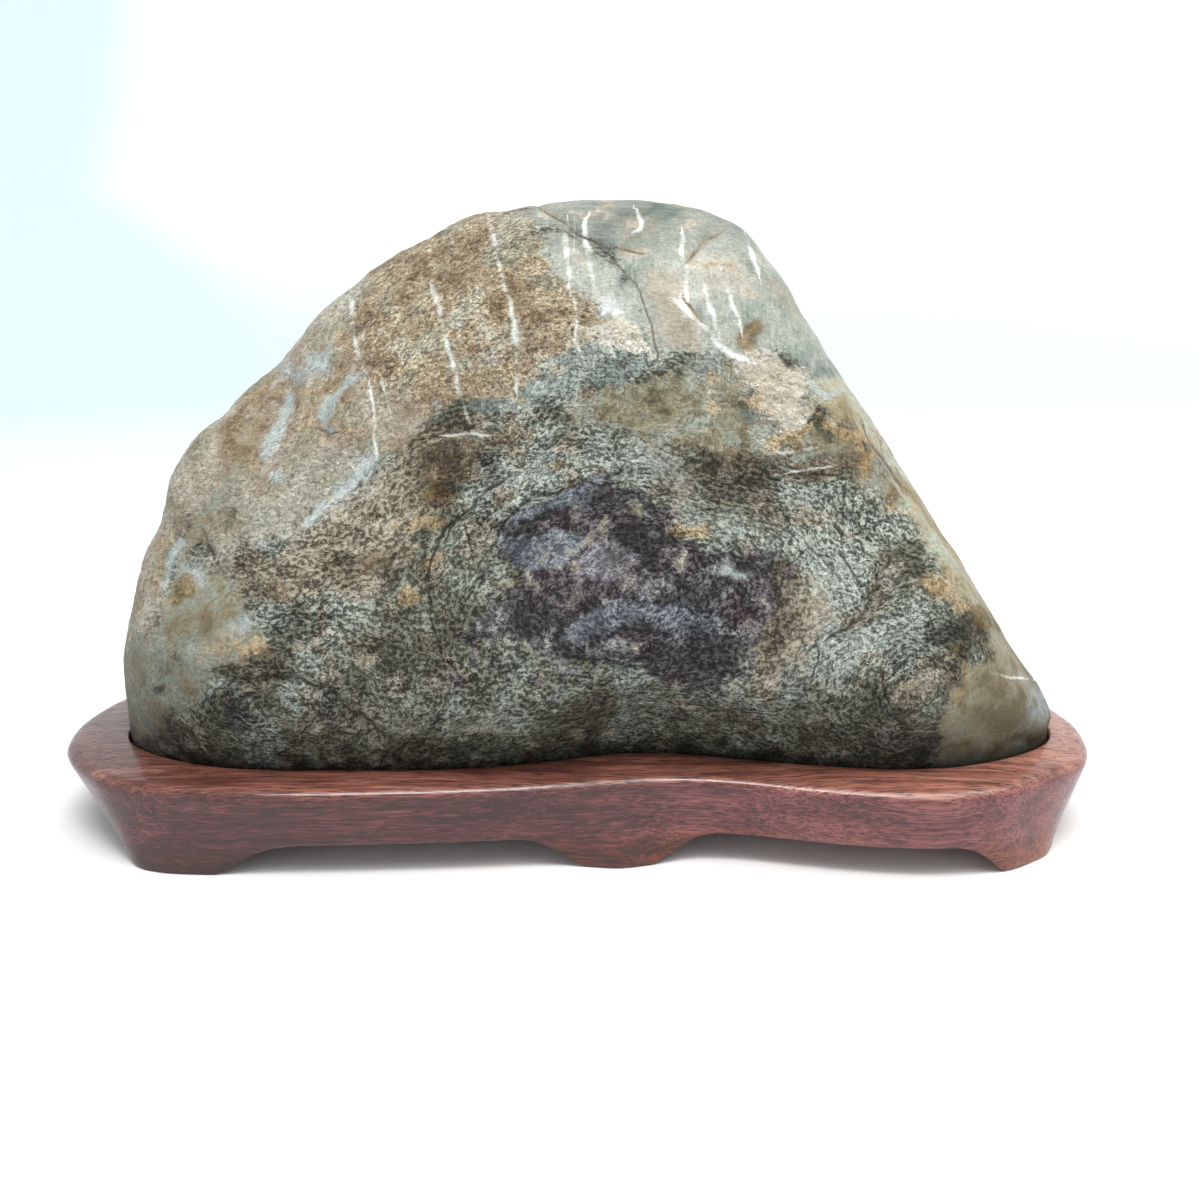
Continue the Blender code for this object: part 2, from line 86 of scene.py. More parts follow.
# How softly each zone ends, in picture units
ZONE_EDGES = {"ochre": 18.0, "jade": 14.0, "plum": 20.0, "slate": 10.0, "cream": 8.0, "light": 20.0,
              "tan": 20.0, "yellow": 18.0, "smooth": 18.0, "pink": 14.0, "teal": 13.0, "crust": 26.0}
ZONES = {
    "ochre": [
        [(478, 212), (530, 205), (566, 240), (592, 280), (622, 330), (590, 362), (548, 392), (520, 408),
         (470, 406), (430, 418), (400, 452), (372, 462), (330, 510), (268, 545), (215, 560), (190, 520),
         (176, 560), (172, 600), (150, 640), (100, 660), (90, 480), (150, 380), (262, 300), (300, 250),
         (360, 200), (430, 170)]],
    "jade": [
        [(498, 190), (560, 150), (760, 150), (900, 330), (870, 395), (845, 402), (812, 388), (800, 366),
         (776, 352), (742, 360), (712, 350), (690, 345), (655, 350), (640, 330), (610, 256), (585, 240),
         (560, 228), (530, 214)],
        [(545, 225), (575, 235), (605, 252), (628, 280), (640, 300), (645, 335), (600, 332), (596, 305),
         (575, 290), (552, 275), (538, 250)]],
    "teal": [
        [(572, 346), (606, 342), (646, 348), (648, 368), (604, 384), (562, 398), (530, 402), (518, 392),
         (540, 372), (556, 360)]],
    "pink": [
        [(640, 276), (684, 268), (690, 300), (702, 322), (700, 348), (672, 345), (655, 332), (650, 310)]],
    "cream": [
        [(738, 362), (758, 350), (776, 352), (788, 364), (806, 366), (812, 386), (806, 402), (816, 416),
         (808, 434), (796, 442), (784, 436), (780, 418), (764, 414), (748, 404), (758, 390), (744, 376)],
        [(583, 324), (606, 318), (634, 328), (648, 346), (602, 344)]],
    "crust": [
        [(345, 300), (400, 240), (480, 215), (540, 215), (575, 260), (602, 300), (602, 345), (545, 385),
         (470, 404), (400, 400), (352, 370)]],
    "plum": [
        [(498, 536), (515, 510), (545, 496), (580, 486), (604, 482), (630, 486), (645, 500), (668, 512),
         (668, 536), (704, 550), (760, 546), (776, 560), (778, 600), (768, 625), (752, 650), (742, 672),
         (716, 694), (684, 694), (655, 684), (625, 676), (590, 668), (560, 662), (535, 650), (510, 640),
         (486, 640), (468, 632), (480, 615), (505, 602), (530, 585), (520, 570), (500, 562)]],
    "slate": [
        [(604, 486), (590, 500), (560, 506), (536, 516), (514, 526), (508, 520), (530, 504), (556, 494),
         (580, 484)],
        [(500, 544), (530, 538), (560, 528), (578, 534), (578, 550), (562, 560), (540, 570), (512, 570)],
        [(590, 608), (640, 600), (690, 603), (720, 614), (714, 632), (690, 636), (662, 628), (640, 624),
         (604, 634), (576, 644), (556, 642), (572, 624)]],
    "yellow": [
        [(560, 402), (600, 385), (655, 374), (700, 348), (745, 362), (760, 390), (745, 405), (768, 420),
         (790, 442), (830, 428), (868, 450), (900, 500), (880, 505), (842, 462), (790, 456), (740, 452),
         (700, 448), (650, 436), (600, 424), (565, 428)]],
    "tan": [
        [(190, 570), (268, 548), (330, 512), (372, 464), (400, 454), (430, 424), (470, 414), (505, 424),
         (470, 446), (440, 480), (425, 520), (404, 570), (380, 604), (330, 594), (285, 604), (240, 602),
         (205, 596)],
        [(770, 600), (800, 575), (830, 590), (820, 640), (780, 690), (740, 700), (755, 650)]],
    "smooth": [
        [(806, 380), (816, 410), (848, 430), (868, 446), (885, 470), (899, 496), (914, 537), (930, 566),
         (952, 592), (990, 622), (990, 655), (968, 670), (952, 690), (938, 724), (930, 775), (1100, 775),
         (1100, 660), (900, 380)],
        [(60, 650), (150, 635), (172, 590), (190, 560), (225, 570), (246, 605), (258, 650), (225, 668),
         (205, 700), (160, 730), (60, 760)]],
    "light": [
        [(600, 440), (650, 440), (690, 470), (705, 510), (760, 515), (800, 545), (790, 560), (740, 545),
         (690, 540), (668, 505), (630, 480), (590, 475), (540, 488), (490, 505), (470, 500), (500, 478),
         (560, 460)],
        [(800, 560), (850, 545), (890, 560), (915, 600), (900, 640), (860, 680), (800, 690), (780, 660),
         (800, 630), (790, 600)]],
}

# Small marks of the front mostly end before the back
FADES_BEHIND = {"slate": 0.9, "pale": 0.7, "cream": 0.6, "pink": 0.7, "plum": 0.45, "mauve": 0.6,
                "rust": 0.5, "orange": 0.4, "dark": 0.85}

# Swells and hollows of the form: middle x and y, reach, outward millimetres
SWELLS = [
    (203, 442, 46, 2.9), (180, 486, 26, 1.2), (284, 360, 26, 1.8), (385, 262, 46, 1.1), (458, 214, 28, 0.9),
    (560, 198, 44, -0.8), (738, 236, 26, 1.3), (786, 292, 52, 1.6), (124, 600, 50, -1.7),
    (1036, 692, 26, 1.5), (1042, 722, 18, 1.6)]

# Pits of the ochre: spacing, seed, reach in millimetres, the least number a seed needs for one, and depth
PITS = [(4.6, 41, 1.25, 0.1, 0.5), (9.5, 44, 2.3, 0.25, 0.7)]

# Cores that the thin beds wrap round: x, z, how much longer than high, and the first bed's distance
BED_CORES = [(17.0, 78.0, 1.5, 0.0), (92.0, 51.0, 1.0, 8.0), (-85.0, 47.0, 2.2, 6.0)]

# The weights kept on the mesh, three under each name
STORED_WEIGHTS = {
    "minerals_1": ("ochre", "jade", "plum"), "minerals_2": ("slate", "cream", "teal"),
    "minerals_and_shade_3": ("smooth", "light", "dark"), "stains_1": ("rust", "orange", "brown"),
    "stains_2": ("pale", "mauve", "tan"), "stains_3": ("yellow", "pink", "crust")}

# Minerals and stains laid over one another: share, the field that their colours follow, edge (how ragged,
# and the weights where it starts and is full), then stops as (place, red, green, blue) in thousandths
LAYERS = {
    "plum": (
        0.88, "plum_mottle", (1.2, 0.30, 0.68),
        (250, 19, 16, 19), (460, 38, 33, 40), (600, 66, 58, 70), (800, 165, 158, 176)),
    "mauve": (
        0.82, "plum_mottle", (1.0, 0.24, 0.84),
        (250, 165, 150, 166), (520, 285, 274, 304), (800, 410, 405, 430)),
    "slate": (
        0.88, "plum_mottle", (0.9, 0.22, 0.72),
        (220, 85, 94, 110), (500, 168, 192, 220), (800, 310, 350, 382)),
    "yellow": (
        0.90, "gentle", (1.1, 0.22, 0.80),
        (220, 140, 121, 72), (400, 262, 230, 144), (510, 324, 308, 214),
        (620, 318, 348, 290), (820, 446, 457, 385)),
    "teal": (
        0.88, "sheen", (1.0, 0.26, 0.74),
        (200, 85, 118, 104), (500, 195, 240, 216), (780, 370, 420, 380)),
    "pink": (
        0.75, "gentle", (1.0, 0.22, 0.80),
        (200, 240, 172, 115), (500, 385, 322, 246), (800, 520, 478, 408)),
    "cream": (
        0.92, "grit", (0.9, 0.16, 0.56),
        (200, 370, 315, 225), (480, 535, 500, 410), (780, 650, 635, 555)),
    "pale": (
        0.80, "sheen", (0.9, 0.16, 0.86),
        (200, 285, 350, 358), (480, 420, 490, 486), (780, 560, 612, 598)),
    "brown": (
        0.72, "grit", (1.1, 0.28, 0.72),
        (200, 45, 31, 18), (500, 135, 98, 60), (800, 320, 250, 160)),
    "orange": (
        0.72, "grit", (1.1, 0.28, 0.72),
        (200, 240, 140, 56), (500, 470, 335, 172), (800, 620, 510, 325)),
    "rust": (
        0.82, "grit", (0.9, 0.28, 0.72),
        (200, 50, 30, 9), (500, 142, 90, 30), (800, 300, 222, 100)),
    # dark spots: partly dark minerals, partly painted shadow under ledges and in the undercut at the stone's
    # foot
    "dark": (
        0.75, "mottle", (1.2, 0.44, 0.90),
        (200, 18, 18, 18), (460, 58, 60, 55), (740, 180, 190, 168)),
}

# Minerals whose grain is calmer than the schist's, and by how much
CALM_MINERALS = {"jade": 1.0, "smooth": 0.85, "pale": 0.9, "cream": 0.7, "yellow": 0.52, "tan": 0.52}
STONE_BUMP, WOOD_BUMP, PAPER_BUMP = 0.0005, 0.00009, 0.00002  # metres

# Patches: middle x and y, reach across and down, strength, and turn in degrees where they are turned
PATCHES = {
    "light": [(449, 565, 19, 40, 1, 4), (366, 604, 18, 22, 0.9), (262, 690, 50, 8, 0.9, -4),
        (925, 690, 38, 36, 0.7), (310, 720, 36, 20, 0.5, 20), (430, 635, 14, 30, 0.5),
        (340, 650, 26, 16, 0.5), (590, 605, 20, 8, 0.4, 20), (800, 540, 20, 10, 0.5)],
    "teal": [(492, 408, 28, 7, 1, 8), (826, 372, 12, 30, 1, -35), (752, 416, 20, 9, 0.8),
        (705, 366, 20, 16, 0.7), (780, 330, 30, 40, 0.2)],
    "rust": [(750, 334, 14, 16, 1), (800, 449, 14, 5, 0.7), (184, 592, 10, 15, 1),
        (982, 620, 17, 11, 1.2, -35), (440, 492, 18, 8, 0.8), (955, 650, 14, 7, 0.8),
        (700, 435, 20, 8, 0.4), (890, 495, 9, 14, 0.9), (560, 465, 14, 5, 0.6), (600, 472, 18, 6, 0.6)],
    "orange": [(935, 585, 22, 12, 1, -35), (960, 605, 20, 10, 0.9, -40), (412, 597, 16, 14, 0.8),
        (690, 534, 24, 7, 0.9, 5), (430, 525, 26, 7, 0.8, 10), (890, 490, 6, 12, 0.9, -25),
        (911, 515, 5, 12, 0.5, -25), (250, 645, 20, 12, 0.6), (330, 430, 40, 12, 0.3), (790, 445, 18, 6, 1),
        (855, 440, 18, 7, 1, -20), (866, 462, 5, 16, 0.7, -10), (700, 375, 30, 12, 0.5),
        (740, 400, 40, 20, 0.5), (430, 560, 20, 8, 0.5, 10)],
    "brown": [(1000, 716, 40, 20, 0.45, -15), (452, 468, 30, 26, 0.9, 20), (440, 495, 20, 10, 1),
        (500, 500, 16, 14, 0.9), (265, 590, 22, 16, 0.6), (262, 655, 30, 14, 0.7), (590, 390, 16, 8, 0.9),
        (612, 415, 40, 14, 0.6), (505, 440, 36, 14, 0.7, 10), (745, 460, 40, 12, 0.5),
        (370, 560, 26, 14, 0.8), (820, 470, 50, 16, 0.8, 5)],
    # dark: dark minerals, with painted shadow under the ledges near (740, 485) and in the undercut at the
    # stone's foot
    "dark": [(490, 466, 10, 16, 1), (740, 485, 60, 16, 0.6), (660, 367, 20, 9, 0.62, 30),
        (684, 350, 8, 14, 0.55), (955, 630, 24, 14, 1, 10), (882, 704, 11, 17, 0.9), (236, 718, 26, 18, 1),
        (258, 696, 9, 7, 1), (335, 712, 8, 12, 0.8), (390, 585, 9, 8, 1), (392, 668, 14, 8, 0.9),
        (165, 692, 7, 7, 1), (174, 679, 6, 8, 0.9), (320, 588, 12, 5, 0.7), (848, 512, 14, 10, 0.8),
        (775, 464, 22, 8, 1), (570, 590, 30, 12, 0.5), (900, 740, 60, 12, 0.6), (1035, 738, 18, 8, 1),
        (208, 550, 6, 10, 0.9, 20), (196, 560, 14, 16, 0.5)],
    "pale": [(277, 483, 6, 6, 1), (262, 548, 10, 6, 0.8), (240, 622, 11, 11, 0.9),
        (320, 360, 16, 18, 0.9, -30), (298, 372, 16, 10, 0.7), (200, 575, 18, 14, 0.6),
        (735, 570, 15, 10, 0.75), (487, 645, 9, 6, 0.7), (1034, 704, 12, 16, 1), (438, 412, 10, 14, 0.6),
        (540, 388, 22, 8, 0.6, 10), (605, 308, 10, 14, 0.8, -20), (700, 310, 14, 30, 0.5, 10),
        (660, 470, 26, 16, 0.5)],
    "plum": [(735, 632, 24, 24, 0.8), (512, 664, 44, 22, 0.62, -10), (470, 684, 26, 16, 0.55),
        (590, 680, 44, 16, 0.62), (232, 716, 26, 14, 0.7), (470, 634, 20, 12, 0.5, 20),
        (790, 560, 14, 24, 0.5)],
    "mauve": [(604, 563, 20, 17, 1.15), (492, 618, 24, 9, 0.9, 18), (570, 674, 12, 9, 0.8),
        (550, 704, 8, 18, 0.6), (648, 590, 14, 20, 0.6), (617, 646, 14, 8, 0.7), (395, 300, 22, 26, 0.6),
        (412, 385, 40, 22, 0.5), (345, 305, 14, 10, 0.5), (540, 285, 22, 12, 0.4)],
    "tan": [(800, 585, 34, 24, 0.8), (815, 512, 28, 12, 0.7), (740, 680, 40, 22, 0.6),
        (250, 500, 50, 30, 0.4, 30), (150, 590, 16, 24, 0.7), (325, 547, 40, 5, 0.8, 3),
        (980, 560, 20, 40, 0.5, 35), (500, 590, 22, 16, 0.6), (655, 690, 24, 10, 0.5)],
    "yellow": [(540, 245, 26, 12, 0.6), (245, 525, 40, 16, 0.5, 20), (720, 420, 50, 20, 0.5),
        (350, 380, 14, 22, 0.4), (460, 350, 20, 40, 0.4), (470, 290, 26, 20, 0.2), (895, 505, 8, 9, 1),
        (635, 512, 8, 6, 0.9), (290, 650, 30, 20, 0.3), (450, 720, 60, 20, 0.5)],
}

# Streaks: soft bands along a line of (x, y, width)
STREAKS = {
    "pale": [
        [(364, 378, 4), (346, 388, 5), (331, 400, 8), (324, 416, 8), (326, 429, 8), (335, 432, 5)],
        [(293, 402, 10), (286, 420, 12), (276, 440, 11), (267, 456, 11)],
        [(371, 460, 12), (361, 476, 13), (346, 490, 12), (330, 503, 8), (316, 514, 8), (305, 523, 6)],
        [(181, 545, 7), (170, 566, 9), (165, 590, 7)],
        [(808, 380, 3), (820, 391, 5), (832, 398, 4), (842, 391, 2)]],
    "smooth": [
        [(258, 425, 9), (246, 450, 13), (232, 475, 15), (215, 500, 17), (200, 525, 17), (188, 550, 12),
         (180, 580, 10), (168, 610, 10), (160, 650, 8)]],
    "orange": [
        [(815, 416, 3), (830, 430, 4), (850, 438, 4), (862, 449, 4), (864, 470, 3)],
        [(776, 441, 5), (790, 447, 5), (808, 442, 4), (818, 428, 3)],
        [(962, 664, 4), (969, 680, 4), (964, 696, 4), (954, 708, 3)],
        [(1020, 646, 2), (1018, 656, 3), (1023, 668, 2)]],
    "light": [
        [(402, 462, 2), (420, 446, 2), (442, 441, 2), (470, 443, 2), (500, 449, 2), (532, 447, 2)],
        [(330, 530, 2), (355, 515, 3), (375, 502, 3), (395, 485, 2)],
        [(304, 551, 4), (318, 547, 5), (330, 545, 4)],
        [(338, 546, 4), (350, 543, 5), (362, 546, 3)]],
}

# Veins and cracks: crisp lines of (x, y, width). Lines that run close together are in different sets.
LINES = {
    "veins_a": [
        [(488, 214, 3), (494, 238, 4), (497, 258, 3), (503, 280, 3), (510, 302, 3), (514, 325, 4),
         (516, 345, 8), (518, 360, 7), (518, 380, 3), (517, 396, 1)],
        [(432, 288, 4), (438, 306, 4), (444, 328, 3), (449, 352, 3), (456, 376, 3), (461, 398, 3),
         (467, 420, 2)],
        [(351, 296, 5), (353, 320, 4), (357, 345, 3), (364, 368, 2)],
        [(371, 385, 1.5), (374, 412, 1.5), (373, 440, 1.5), (377, 465, 1)],
        [(567, 222, 3), (566, 240, 5), (568, 265, 4), (570, 288, 2)],
        [(588, 217, 2), (584, 226, 4), (585, 242, 3), (589, 256, 5), (592, 276, 4), (598, 296, 3),
         (604, 312, 6), (616, 312, 5)],
        [(682, 232, 2), (682, 255, 3), (685, 268, 4), (686, 290, 3), (687, 302, 2)],
        [(676, 303, 6), (690, 315, 4), (700, 322, 3), (707, 329, 4), (716, 342, 6), (725, 352, 5),
         (736, 357, 4), (747, 360, 3)],
        [(721, 274, 2), (726, 290, 2.5), (732, 305, 3), (738, 318, 2.5), (741, 331, 2.5)],
        [(812, 447, 1.5), (796, 452, 2), (780, 452, 1.5)],
        [(994, 673, 0.8), (1015, 678, 1.2), (1042, 684, 1)]],
    "veins_b": [
        [(364, 330, 2), (367, 342, 1.5)],
        [(382, 378, 1.5), (390, 410, 1.5)],
        [(575, 305, 2), (576, 325, 2), (574, 342, 1.5)],
        [(578, 348, 2), (584, 363, 1.5)],
        [(637, 212, 2), (641, 222, 3), (640, 230, 3), (633, 234, 2)],
        [(704, 285, 2), (708, 300, 3), (713, 311, 5), (716, 326, 3), (719, 342, 2)],
        [(743, 238, 1.5), (749, 256, 2.5), (756, 276, 2)],
        [(610, 345, 1.5), (620, 366, 1.5), (633, 378, 1)],
        [(445, 436, 1.5), (462, 433, 2), (486, 436, 1.5)],
        [(790, 472, 0.8), (812, 468, 1.3), (832, 466, 0.8)]],
    "cracks_a": [
        [(538, 204, 1.5), (552, 213, 2), (566, 223, 2), (576, 233, 2), (590, 241, 2), (606, 249, 2.5),
         (624, 250, 2), (642, 253, 1.5)],
        [(718, 234, 2), (704, 240, 3), (695, 250, 4), (685, 262, 2)],
        [(686, 303, 2), (697, 314, 3), (703, 321, 4)],
        [(224, 678, 1.5), (245, 680, 2), (262, 677, 2), (285, 679, 3), (301, 680, 3), (313, 686, 3),
         (325, 687, 2), (333, 691, 2), (339, 702, 2), (347, 711, 2), (362, 716, 2), (372, 724, 1.5),
         (378, 737, 1.5)],
        [(203, 535, 2), (205, 544, 3), (212, 554, 3)],
        [(468, 510, 2), (455, 520, 2), (445, 529, 2.5), (439, 542, 2), (433, 557, 2), (428, 573, 2),
         (428, 590, 2), (431, 604, 2), (431, 617, 1.5), (435, 632, 1.5), (439, 648, 2), (441, 657, 1.5)],
        [(500, 533, 1.5), (506, 521, 1.5), (516, 511, 1.5), (527, 503, 2), (540, 497, 2), (551, 494, 2),
         (562, 489, 2), (576, 486, 2), (584, 481, 2), (600, 486, 1.5), (622, 482, 1.5)],
        [(864, 424, 1.5), (873, 440, 3), (881, 451, 3), (891, 463, 3), (898, 476, 3), (906, 491, 2)],
        [(876, 576, 4), (878, 588, 4), (871, 600, 3), (866, 612, 3), (858, 622, 3), (846, 630, 3),
         (836, 635, 3), (826, 641, 1.5)],
        [(885, 668, 1.5), (884, 690, 2), (890, 708, 2), (899, 722, 1.5)],
        [(786, 566, 1.5), (796, 560, 1.5), (806, 552, 1.5)],
        [(688, 608, 1.5), (694, 613, 2), (698, 617, 1.5)]],
    "cracks_b": [
        [(606, 253, 1.5), (618, 263, 2), (628, 276, 2), (638, 290, 2), (646, 306, 2), (650, 322, 2),
         (653, 338, 2), (657, 354, 1.5)],
        [(226, 673, 1.5), (245, 667, 1.5), (264, 667, 2), (286, 669, 2), (296, 673, 1.5)],
        [(466, 528, 1.5), (469, 545, 1.5), (472, 562, 1)],
        [(470, 508, 2), (480, 497, 3), (490, 488, 3), (503, 481, 1.5)],
        [(842, 556, 1.5), (849, 566, 1.5), (856, 576, 1.5), (862, 590, 1)],
        [(820, 640, 1.5), (819, 658, 1.5), (813, 678, 1)],
        [(888, 680, 1), (905, 662, 1), (930, 656, 1), (955, 668, 1)],
        [(790, 476, 1.5), (812, 474, 1.5), (840, 476, 1.5)],
        [(322, 431, 1.5), (330, 434, 2.5), (336, 432, 1.5)]],
}

# -------- stage, in metres
SWEEP_FLAT = 1.0  # radius of the flat floor
SWEEP_BEND = 0.7  # radius of the bend up into the wall
SWEEP_TOP = 1.5
SWEEP_SIDES = 96
SWEEP_STEPS = 12  # along the bend
# Area lights: place, what they face, size across and along, watts and colour
LIGHTS = {
    "overhead": ((0.35, -0.22, 1.35), (0.0, 0.0, 0.08), (1.5, 1.3), 25.0, (1.0, 0.99, 0.97)),
    "strip": ((-0.10, -0.42, 1.35), (0.0, 0.0, 0.02), (0.75, 0.26), 9.0, (1.0, 0.99, 0.98))}
WORLD_COLOUR = (0.93, 0.98, 1.0, 1.0)
WORLD_STRENGTH = 0.39

# -------- stand, in millimetres
STAND_HEIGHT = 25.4
APRON_HEIGHT = 8.8
POCKET_FLOOR = 17.0
POCKET_GAP = 0.6
POCKET_MIDDLE = 21.0  # height of the ring half way down the pocket's wall
POCKET_SMOOTHING = 6
RAY_START = 90.0  # how far outside the middle line the rays that look for the stone start
MIDDLE_SHARE, MIDDLE_END = 0.9, 98.0  # the middle line's length, as a share of the stand's and at most
RIM_CROWN = 0.9
POINTS_PER_SPAN = 8
# Widest line of the rim (x, y) and the ground line that the feet follow (x, y), as in the frame
OUTLINES = [
    (151.4, -1.5, 138.0, -1.5), (149.2, -15.5, 138.0, -14.0), (144.5, -26.0, 136.8, -26.0),
    (137.0, -33.8, 133.4, -35.5), (126.7, -41.4, 127.5, -41.0), (113.5, -48.6, 117.5, -46.8),
    (99.3, -51.8, 101.0, -49.8), (86.2, -51.4, 86.2, -49.4), (73.3, -49.6, 73.3, -47.6),
    (60.4, -46.6, 60.4, -44.8), (47.4, -43.1, 47.4, -42.0), (34.0, -40.9, 34.0, -41.0),
    (23.1, -40.6, 23.1, -42.6), (12.2, -41.8, 12.2, -45.0), (1.3, -43.7, 1.3, -44.0),
    (-9.5, -45.6, -9.5, -44.2), (-22.0, -47.4, -22.0, -45.0), (-38.0, -48.9, -38.0, -46.2),
    (-55.0, -49.9, -55.0, -47.2), (-73.0, -50.7, -73.0, -48.0), (-91.0, -50.2, -91.0, -48.6),
    (-107.0, -48.2, -104.0, -48.6), (-120.3, -44.6, -114.5, -47.2), (-130.3, -39.4, -121.5, -43.6),
    (-139.0, -31.2, -125.6, -35.6), (-145.5, -23.0, -127.0, -26.0), (-149.6, -14.0, -127.4, -15.0),
    (-151.5, -2.0, -127.4, -2.0), (-150.4, 10.0, -127.0, 11.0), (-147.0, 21.5, -126.0, 22.0),
    (-140.0, 31.6, -124.0, 31.6), (-128.5, 40.0, -118.0, 38.8), (-112.0, 46.4, -108.0, 44.0),
    (-91.0, 49.8, -91.0, 47.2), (-66.0, 51.6, -66.0, 49.0), (-40.0, 51.0, -40.0, 48.6),
    (-14.0, 48.0, -14.0, 46.0), (10.0, 46.4, 10.0, 45.6), (34.0, 47.2, 34.0, 45.8),
    (60.0, 50.4, 60.0, 48.2), (84.0, 51.8, 84.0, 49.4), (107.0, 49.2, 106.0, 47.0),
    (126.0, 42.6, 123.6, 41.0), (139.6, 31.8, 133.6, 32.0), (147.4, 19.6, 137.6, 19.8),
    (150.4, 8.0, 138.2, 8.6),
]
WALL_HEIGHTS = [0.0, 3.5, 8.0, 12.5, 17.0, 20.8, 22.4]
WALL_SHARES = [1.0, 0.85, 0.62, 0.39, 0.19, 0.05, 0.0]  # of the way from the widest line to the ground
RIM_START = 21.6
FOOT_BEVEL = 0.7
# The rounded rim: (inward from the widest line, height)
RIM_EDGE = [(0.14, 22.6), (0.5, 23.5), (1.15, 24.3), (2.2, 24.92), (3.6, 25.28), (5.2, STAND_HEIGHT)]
LIP_EDGE = [(1.0, RIM_CROWN), (0.5, RIM_CROWN - 0.08), (0.15, RIM_CROWN - 0.35), (0.0, 0.0)]
# Shares of the way at which rings lie: underside from the middle out, and wall from the foot up
UNDERSIDE_SHARES = [1.0, 0.8, 0.66, 0.56, 0.5, 0.45, 0.4, 0.35, 0.28, 0.2, 0.12, 0.06, 0.02]
WALL_RING_SHARES = [0.03, 0.07, 0.13, 0.22, 0.33, 0.45, 0.58, 0.7, 0.82, 0.92, 1.0]
POCKET_LEVELS = [17.8, 19.5, 21.5, 23.5, 25.0, 26.6]  # heights at which the stone's width is measured
# Arches between the feet: (x or y, height) from foot to foot
FRONT_ARCHES = [
    [(-97.5, 0.0), (-96.5, 0.7), (-92.0, 3.6), (-87.5, 6.2), (-82.0, 8.1), (-75.0, APRON_HEIGHT),
     (-14.0, APRON_HEIGHT), (-8.4, 6.9), (-4.3, 4.2), (-0.5, 1.6), (1.6, 0.0)],
    [(21.6, 0.0), (24.4, 1.6), (28.7, 4.6), (32.8, 7.4), (38.2, APRON_HEIGHT), (104.0, APRON_HEIGHT),
     (108.6, 7.4), (112.0, 5.0), (115.0, 2.4), (116.4, 0.0)],
]
SIDE_ARCH = [(-27.0, 0.0), (-24.6, 2.8), (-21.0, 6.0), (-15.5, APRON_HEIGHT), (15.5, APRON_HEIGHT),
             (21.0, 6.0), (24.6, 2.8), (27.0, 0.0)]


# ======== fields on points
def cell_value(cells, seed):
    """A steady number from -1 to 1 for each whole-number cell."""
    mixed = cells[..., 0] * 73856093 ^ cells[..., 1] * 19349663 ^ cells[..., 2] * 83492791
    mixed = (mixed ^ (seed * 40503 + 977)) & 0x7FFFFFFF
    mixed = (mixed ^ (mixed >> 15)) * 739981 & 0x7FFFFFFF
    mixed = (mixed ^ (mixed >> 12)) * 297657 & 0x7FFFFFFF
    return ((mixed ^ (mixed >> 14)) & 0xFFFF) / 32767.5 - 1.0


def noise_at(points, size, seed, octaves=3):
    """Smooth noise from about -1 to 1 with features of that size."""
    total = np.zeros(len(points))
    amount = 1.0
    for octave in range(octaves):
        at = points / size * 2.0**octave + 17.3 * octave
        cell = np.floor(at).astype(np.int64)
        part = at - cell
        part = part * part * (3.0 - 2.0 * part)
        value = np.zeros(len(points))
        for corner in np.ndindex(2, 2, 2):
            share = np.prod(np.where(corner, part, 1.0 - part), axis=1)
            value += share * cell_value(cell + np.array(corner), seed + octave)
        total += amount * value
        amount *= 0.5
    return total


def nearest_seed(points, size, seed):
    """Distance to the nearest of scattered seeds, one in each cell, and that seed's own number."""
    at = points / size
    cell = np.floor(at).astype(np.int64)
    nearest = np.full(len(points), 9.0)
    number = np.zeros(len(points))
    for step in np.ndindex(3, 3, 3):
        other = cell + np.array(step) - 1
        place = other + 0.5
        place += 0.45 * np.stack([cell_value(other, seed + k) for k in range(3)], axis=1)
        distance = np.linalg.norm(at - place, axis=1)
        closer = distance < nearest
        nearest = np.where(closer, distance, nearest)
        number = np.where(closer, cell_value(other, seed + 5), number)
    return nearest * size, number


def noise_pair(points, size, seed, octaves=3):
    """Two noises side by side, for moving picture places."""
    return np.stack([noise_at(points, size, seed + k, octaves) for k in (0, 1)], axis=1)


def smooth_step(value, low, high):
    share = np.clip((value - low) / (high - low), 0.0, 1.0)
    return share * share * (3.0 - 2.0 * share)


def picture_place(points):
    """Where points, in millimetres, fall in the reference view."""
    ahead = np.array([0.0, math.cos(VIEW_DOWN), -math.sin(VIEW_DOWN)])
    upward = np.array([0.0, math.sin(VIEW_DOWN), math.cos(VIEW_DOWN)])
    offset = points - VIEW_FROM
    depth = offset @ ahead
    across = PICTURE / 2 + FOCAL * offset[:, 0] / depth
    down = PICTURE / 2 - FOCAL * (offset @ upward) / depth
    return np.stack([across, down], axis=1)


def drawn_place(points):
    """Picture places of all points. Behind the fold line the marks are mirrored and drift away."""
    behind = np.clip(points[:, 1] - FOLD_LINE, 0.0, None)
    drift = smooth_step(behind, 0.0, DRIFT_REACH)
    seen = points.copy()
    seen[:, 1] -= 2.0 * behind
    seen[:, 0] += DRIFT_ASIDE * drift
    seen[:, 2] += DRIFT_UP * drift
    return picture_place(seen), drift


def from_segment(place, start, end):
    """Offset from the start, the direction, the share of the way along, and the distance, for each place."""
    along = np.array([end[0] - start[0], end[1] - start[1]], float)
    length = np.linalg.norm(along)
    along /= length
    offset = place - np.array(start[:2], float)
    travel = np.clip(offset @ along, 0.0, length)
    distance = np.linalg.norm(offset - travel[:, None] * along, axis=1)
    return offset, along, travel / length, distance


